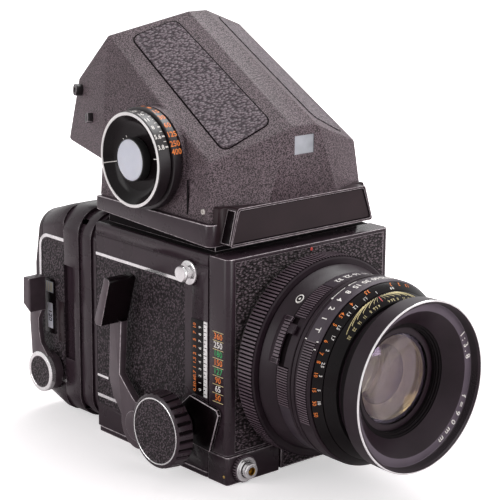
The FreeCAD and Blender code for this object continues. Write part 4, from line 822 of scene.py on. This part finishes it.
# speed ring: figures, lines in its groove and three dots
speedBand = ((38.4, 44.13), (44.6, 44.13))
speedGroove = ((36.4, 43.65), (38.2, 43.65))
rows = [(text, lens["speedStart"] - lens["speedStep"] * index, 41.8)
        for index, text in enumerate("T 1 2 4 8 15 30 60 125 250 400".split())]
ringFigures("speedFigures", lensAxes, "shutter_control", speedBand, "whiteFilling", rows, 3)
rows = []
for start, end in ((120, 108.5), (104.9, 98.9)):
    length = radians(start - end) * speedGroove[0][1]
    rows.append((length, 0.35, onRing(lensAxes, (start + end) / 2, 37.2, speedGroove), 9))
    rows.append((0.9, 0.9, onRing(lensAxes, start, 37.2, speedGroove), 1))
for height, angle in ((45, 149.5), (45, 154.2), (37.6, 149.6)):
    rows.append((0.5, 1.2, onRing(lensAxes, angle, height, ((36.4, 44.1), (45.2, 44.1)))))
markPiece("speedLines", "shutter_control", "whiteFilling", rows)

# aperture and distance rings
rows = [(text, 102 - 7.5 * index, 28) for index, text in enumerate("32 22 16 11 8 5.6 3.8".split())]
ringFigures("apertureFigures", lensAxes, "aperture_control", ((24.4, 43.22), (31.2, 43.22)), "whiteFilling",
            rows, 2.8)
distanceCone = ((47, 43.13), (50.4, 40.33))
feet = {"1.3": 68.9, "2": 76.5, "3": 84, "3.5": 104.5, "4": 118.5, "4.5": 128.3, "5": 135.9, "6": 147.3,
        "7": 155.1, "8": 160.5, "10": 168.2, "15": 177.7, "30": 186.3, "50": 194}
metres = {"0.9": 84.9, "1": 98.8, "1.1": 108.9, "1.2": 118.2, "1.3": 124.8, "1.5": 136, "1.7": 143.4,
          "2": 152.1, "2.5": 161.6, "3": 168.6, "5": 177.7, "10": 186}
for title, finish, marks, height, size in (("distanceFeet", "orangeFilling", feet, 47.9, 1.7),
                                           ("distanceMetres", "whiteFilling", metres, 49.55, 1.4)):
    ringFigures(title, lensAxes, "distance_control", distanceCone, finish,
                [(text, angle, height) for text, angle in marks.items()], size)

# depth of field cone: stops are (text, angle of the figure, angle where its line ends)
depthCone = ((51.1, 39.83), (55.4, 36.43))
depth = {"centre": 99.7, "figures": 54.5, "foot": 53.2, "rise": 1.8,
         "stops": [("32", 138.5, 137.5), ("22", 131.5, 130.4), ("16", 125.3, 124.5), ("11", 119.5, 118.1),
                   ("8", 113.2, 112), ("5.6", 108.4, 107), ("4", 104.6, 103.4)]}
rows = [(text, turn, depth["figures"]) for text, angle, end in depth["stops"]
        for turn in (angle, 2 * depth["centre"] - angle)]
ringFigures("depthFigures", lensAxes, "standard", depthCone, "goldFilling", rows, 1.35)


def alongFan(spread):
    # a line from the focus mark out to its own figure, spread degrees away
    def toPlace(x, y, z):
        share = min(max(x + 0.5, 0), 1)
        turn = depth["centre"] + spread * (1 - 0.62 * share)
        return onRing(lensAxes, turn, depth["foot"] - depth["rise"] * share ** 0.7 + y, depthCone)(0, 0, z)
    return toPlace


rows = [(1, 0.22, alongFan(side * (end - depth["centre"])), 20)
        for side in (1, -1) for text, angle, end in depth["stops"]]
markPiece("depthLines", "standard", "goldFilling", rows)
rows = [(0.5, 2.6, onRing(lensAxes, depth["centre"], 52.6, depthCone))]
markPiece("depthIndex", "standard", "redFilling", rows)

# front name ring: only the plain aperture and focal length stay
nameBand = {"radius": 36.1, "height": 68.62, "figure": 3.1, "text": "1:3.8f=90mm",
            "angles": (30, 25.5, 20, 15.5, 10.5, -20, -26.5, -33.5, -41, -49, -57.5)}


def onNameRing(angle):
    def toPlace(x, y, z):
        radius = nameBand["radius"] + y
        turn = radians(angle) - x / nameBand["radius"]
        return lensAxes @ Vector((radius * cos(turn), radius * sin(turn), nameBand["height"] - y * 0.03 + z))
    return toPlace


rows = [(text, nameBand["figure"], onNameRing(angle))
        for text, angle in zip(nameBand["text"], nameBand["angles"])]
markPiece("nameRingFigures", "standard", "whiteFilling", rows)

# meter dial, its figures read along the rings' axis
rows = [(text, angle, -9.8) for text, angle in zip("400 250 125 60 30 15 8 4 2 1".split(),
                                                   (15, 24, 35, 47, 59, 71, 83, 95, 107, 119))]
ringFigures("meterSpeeds", dialAxes, "meter_speed_dial", ((-11.5, 24.42), (-8, 24.42)), "orangeFilling",
            rows, 2.7, False)
frontBand = ((-6.7, 22.92), (-0.9, 22.92))
rows = []
for index, text in enumerate("3.8 5.6 8 11 16 22 32".split()):
    angle = 22.5 + 13.2 * index
    rows.append((text, 2.2, onRing(dialAxes, angle, -2.6, frontBand, False)))
    dot = 1.5 if index < 3 else 0.5
    rows.append((dot * 0.5, dot, onRing(dialAxes, angle, -5.9, frontBand), 2))
    rows.append((0.35, 1.4, onRing(dialAxes, angle + 6.6, -5.6, frontBand)))
markPiece("meterStops", "meter_aperture_dial", "whiteFilling", rows)
dishSlope = ((21.1, -0.3), (18.4, -3.6), (16.8, -4.6), (14.8, -5), (0, -5))


def alongDish(angle, middle):
    # place along a radius of the dial's dished face
    turn = Matrix.Rotation(radians(angle), 4, "Z")

    def toPlace(x, y, z):
        radius = middle + x
        for (r1, h1), (r0, h0) in zip(dishSlope, dishSlope[1:]):
            if r0 <= radius:
                height = h0 + (h1 - h0) * (radius - r0) / (r1 - r0)
                break
        return dialAxes @ (turn @ Vector((radius, y, height + 0.05 + z)))
    return toPlace


markPiece("meterFaceMarks", "meter_aperture_dial", "whiteFilling",
          [(far - near, 0.4, alongDish(angle, (near + far) / 2), 16) for angle, near, far in
           ((192, 11.5, 21), (8, 12.6, 15.4), (143, 12.2, 13.8), (131, 12.2, 13.2))])

# flat plates on the right side: name, plane x, (first y, low z, last y, high z), depth, body, finish,
# corner radius, eased edge, replaced nodes
for title, x, span, thick, body, finish, radius, edge, taken in (
        ("scalePlate", -52, (17, 40, 26, 77), 0.4, "body", "glossEnamel", 0.6, 0.1, ("scale_plate",)),
        ("rulerStrip", -52, (14.3, 40, 16.8, 77), 0.4, "body", "whiteEnamel", 0, 0.1, ()),
        ("counterFrame", -51.5, (137.8, 42, 147.4, 71.4), 0.35, "film_back", "glossEnamel", 1, 0.12, ()),
        ("counterWindow", -51.85, (139.6, 64.2, 146, 70), 0.12, "film_back", "frostedWindow", 0, 0, ()),
        ("filmPlaque", -51.85, (140.4, 44.9, 144.8, 58.5), 0.12, "film_back", "opalAcrylic", 0.5, 0, ()),
        ("barePlate", -51.5, (130.6, 39.5, 136.6, 61), 0.3, "film_back", "plateEnamel", 0.6, 0.1, ()),
        ("finderSeam", -48.5, (32.4, 123.2, 33.5, 141), 0.25, "body", "mattLightTrap", 0, 0, ())):
    y0, z0, y1, z1 = span
    rounded = dict.fromkeys(range(4), radius) if radius else None
    bm = prism([(-y0, z0), (-y1, z0), (-y1, z1), (-y0, z1)], thick, rounded)
    if edge:
        softenEdges(bm, edge, angle=40)
    finishPiece(title, bm, body, [finish], rightSide(x, 0, 0), taken)

# extension scale's figures, its ruler's ticks and the focal length labels on the standard's edge
sideX = -52
scaleFace = -52.4
scale = {"foot": 43, "step": 3.4, "distancesY": 23.3, "countsY": 19.3, "labelY": 6.8, "labelFoot": 42,
         "labelStep": 4.25, "lineFoot": 39.9}
rows = []
for index in range(19):
    length, y = (1.1, 16) if index % 2 else (2, 15.6)
    rows.append((length, 0.35, onSide(scaleFace, y, 41.5 + index * 1.9)))
markPiece("rulerTicks", "body", "glossEnamel", rows)
for title, texts, size, y, finish in (
        ("scaleFigures", "0.5 0.6 0.7 1 1.5 2 3 5 7 10".split(), 2, scale["distancesY"], "orangeFilling"),
        ("scaleCounts", "0123456789", 1.7, scale["countsY"], "whiteFilling")):
    rows = [(text, size, onSide(scaleFace, y, scale["foot"] + index * scale["step"], 90))
            for index, text in enumerate(texts)]
    markPiece(title, "body", finish, rows)
for colour, labels in {"orange": {0: "50", 2: "90", 4: "150", 7: "360"}, "white": {1: "65", 6: "250"},
                       "green": {3: "127", 5: "180"}}.items():
    markPiece("focalLabels" + colour[:5].capitalize(), "standard", colour + "Filling",
              [(text, 2.9, onSide(sideX, scale["labelY"], scale["labelFoot"] + index * scale["labelStep"]))
               for index, text in labels.items()])
markPiece("focalLines", "standard", "goldFilling",
          [(7.6, 0.3, onSide(sideX, scale["labelY"], scale["lineFoot"] + index * scale["labelStep"]))
           for index in range(9)])

# red focus mark at the top of the front plate
redPlace = Vector((0, 0.1, 106.6))
bm = bmesh.new()
bmesh.ops.create_uvsphere(bm, u_segments=24, v_segments=8, radius=0.9, matrix=Matrix.Translation(redPlace))
bmesh.ops.scale(bm, vec=(1, 0.35, 1), space=Matrix.Translation(-redPlace), verts=bm.verts)
finishPiece("redMark", bm, "standard", ["redFilling"], sharp=32)

# mounting mark on the flared skirt: a black oval with a white rim and a white dot
markAngle = radians(126.9)
markLean = {"out": 0.961, "along": 0.275}
outward = Vector((cos(markAngle), 0, sin(markAngle)))
forward = Vector((0, -1, 0))
mark = axes(Vector((0, -20.3, lensZ)) + outward * 43.3, forward.cross(outward),
            forward * markLean["out"] - outward * markLean["along"])
bm = turnedSolid([(-1, 0), (0.25, 0), (0.3, 0.45), (0.35, 0.5), (0.3, 1.2), (0.45, 1.3), (0.45, 1.6),
                  (0.3, 1.7), (-1, 1.7)], 48)
paintFaces(bm, 1, (-2, 1), (0, 0.45))
paintFaces(bm, 1, (-2, 1), (1.25, 1.72))
bmesh.ops.scale(bm, vec=(1.45, 1, 1), verts=bm.verts)
finishPiece("lensMark", bm, "standard", ["glossEnamel", "whiteFilling"], mark)
print("figures set")

# film back's bright line and leather, both cut where the door meets the holder
back = {"side": -51.2, "cut": 149.15, "gap": 0.15}
lineOutline = [(-129.9, 95.1), (-152.1, 95.1), (-152.1, 17.9), (-129.9, 17.9), (-129.9, 19.7), (-150.3, 19.7),
               (-150.3, 93.3), (-129.9, 93.3)]
panelOutline = [(-130.1, 92.9), (-149.9, 92.9), (-149.9, 20.1), (-130.1, 20.1)]
for title, outline, thick, corners, finish, edge in (
        ("backLine", lineOutline, 0.45, {1: 8, 2: 8, 5: 6.2, 6: 6.2}, "chromiumPlate", 0.12),
        ("backLeather", panelOutline, 0.3, {1: 5.8, 2: 5.8}, "fineLeathercloth", 0)):
    for half, body, gap in (("Holder", "film_back", -back["gap"]), ("Door", "door", back["gap"])):
        bm = prism(outline, thick, corners)
        bmesh.ops.transform(bm, matrix=rightSide(back["side"], 0, 0), verts=bm.verts)
        plane = bmesh.ops.bisect_plane(bm, geom=list(bm.verts) + list(bm.edges) + list(bm.faces),
                                       plane_co=(0, back["cut"] + gap, 0), plane_no=(0, 1, 0),
                                       clear_inner=half == "Door", clear_outer=half == "Holder")
        bmesh.ops.holes_fill(bm, edges=[e for e in plane["geom_cut"] if isinstance(e, bmesh.types.BMEdge)])
        if edge:
            softenEdges(bm, edge, 1, 60)
        finishPiece(title + half, bm, body, [finish])

# frame counter's bars, film type figures, and the same cloth on the door's flat middle
counterFace = -51.98
markPiece("counterBars", "film_back", "goldFilling",
          [(0.4, 5, onSide(counterFace, y, 67.1)) for y in (140.6, 142, 143.6, 145.2)])
markPiece("filmFigures", "film_back", "glossEnamel", [("120", 2.9, onSide(counterFace, 142.6, 51.7, -90))])
bm = prism([(-41, 36.6), (41, 36.6), (41, 76.4), (-41, 76.4)], 0.3, dict.fromkeys(range(4), 3))
finishPiece("doorLeather", bm, "door", ["fineLeathercloth"], axes((0, 157.45, 0), (-1, 0, 0), (0, 0, 1)))

# screw beside the finder's seam
turnedPiece("finderScrew", [(-0.6, 0), (-0.6, 1.5), (0.2, 1.5), (0.45, 1.2), (0.45, 0.5), (0.1, 0.45),
                            (0.1, 0)], 32, "body", "satinNickel", rightSide(-48.5, 21.8, 127.7))
print("film back and finder trimmed")

# stage: matt white paper; the eye sees it as white as the wall behind it, except in the shadow near
# the camera
bm = bmesh.new()
bmesh.ops.create_grid(bm, x_segments=1, y_segments=1, size=3)
mesh = bpy.data.meshes.new("floor")
bm.to_mesh(mesh)
bm.free()
floor = bpy.data.objects.new("floor", mesh)
bpy.context.scene.collection.objects.link(floor)
material, tree, shader, place = newMaterial("paperSweep")
shader.inputs["Specular IOR Level"].default_value = 0.1
fibreSize = 1000 / 60
fibre = addNoise(tree, fibreSize, 3, place).outputs["Fac"]
tree.links.new(mixColours(tree, fibre, "#f1e9ec", "#f8f2f4"), shader.inputs["Base Color"])
rays = addNode(tree, "LightPath").outputs
away = addNode(tree, "VectorMath", {"operation": "LENGTH"}, {0: place}).outputs["Value"]
glow = addRange(tree, away, 0.5, 1, 0.12, 0.45)
shader.inputs["Emission Color"].default_value = hexColour("#ffffff")
tree.links.new(addMath(tree, "MULTIPLY", rays["Is Camera Ray"], glow), shader.inputs["Emission Strength"])
mesh.materials.append(material)

# world: a dim white room that the eye, metal and glass see at full white
ambient = 0.3
world = bpy.data.worlds.new("studio")
bpy.context.scene.world = world
world.use_nodes = True
tree = world.node_tree
background = tree.nodes["Background"]
background.inputs["Color"].default_value = hexColour("#ffffff")
rays = addNode(tree, "LightPath").outputs
seen = addMath(tree, "MAXIMUM", rays["Is Camera Ray"], rays["Is Transmission Ray"])
seen = addMath(tree, "MAXIMUM", seen, rays["Is Glossy Ray"])
tree.links.new(addRange(tree, seen, ambient, 1), background.inputs["Strength"])

# three softboxes: name, place, size in metres, watts
target = Vector((0, 0, 0.09))
for title, spot, size, power in (("topSoftbox", (0.55, 0.15, 1.1), (1, 1), 15),
                                 ("sideSoftbox", (-1.3, 0.35, 0.5), (0.8, 0.9), 7),
                                 ("frontSoftbox", (0.25, -1.4, 0.45), (0.7, 0.7), 9)):
    data = bpy.data.lights.new(title, "AREA")
    data.shape = "RECTANGLE"
    data.size, data.size_y = size
    data.energy = power
    light = bpy.data.objects.new(title, data)
    way = Vector(spot) - target
    light.matrix_world = Matrix.Translation(spot) @ way.to_track_quat("Z", "Y").to_matrix().to_4x4()
    bpy.context.scene.collection.objects.link(light)

# camera, found from the photograph's vanishing lines
view = {"place": (-538, -569.4, 303.1), "right": (0.753, -0.658, 0.007), "back": (-0.6393, -0.7291, 0.2443),
        "lens": 122.97, "sensor": 36}
backward = Vector(view["back"]).normalized()
across = Vector(view["right"])
across = (across - backward * across.dot(backward)).normalized()
data = bpy.data.cameras.new("photoCamera")
data.lens = view["lens"]
data.sensor_width = view["sensor"]
data.clip_start = 0.05
data.clip_end = 20
camera = bpy.data.objects.new("photoCamera", data)
camera.matrix_world = (Matrix.Translation(toFrame @ Vector(view["place"]))
                       @ Matrix((across, backward.cross(across), backward)).transposed().to_4x4())
bpy.context.scene.collection.objects.link(camera)
bpy.context.scene.camera = camera
bpy.context.scene.view_settings.view_transform = "Standard"

print("stage and lights set")
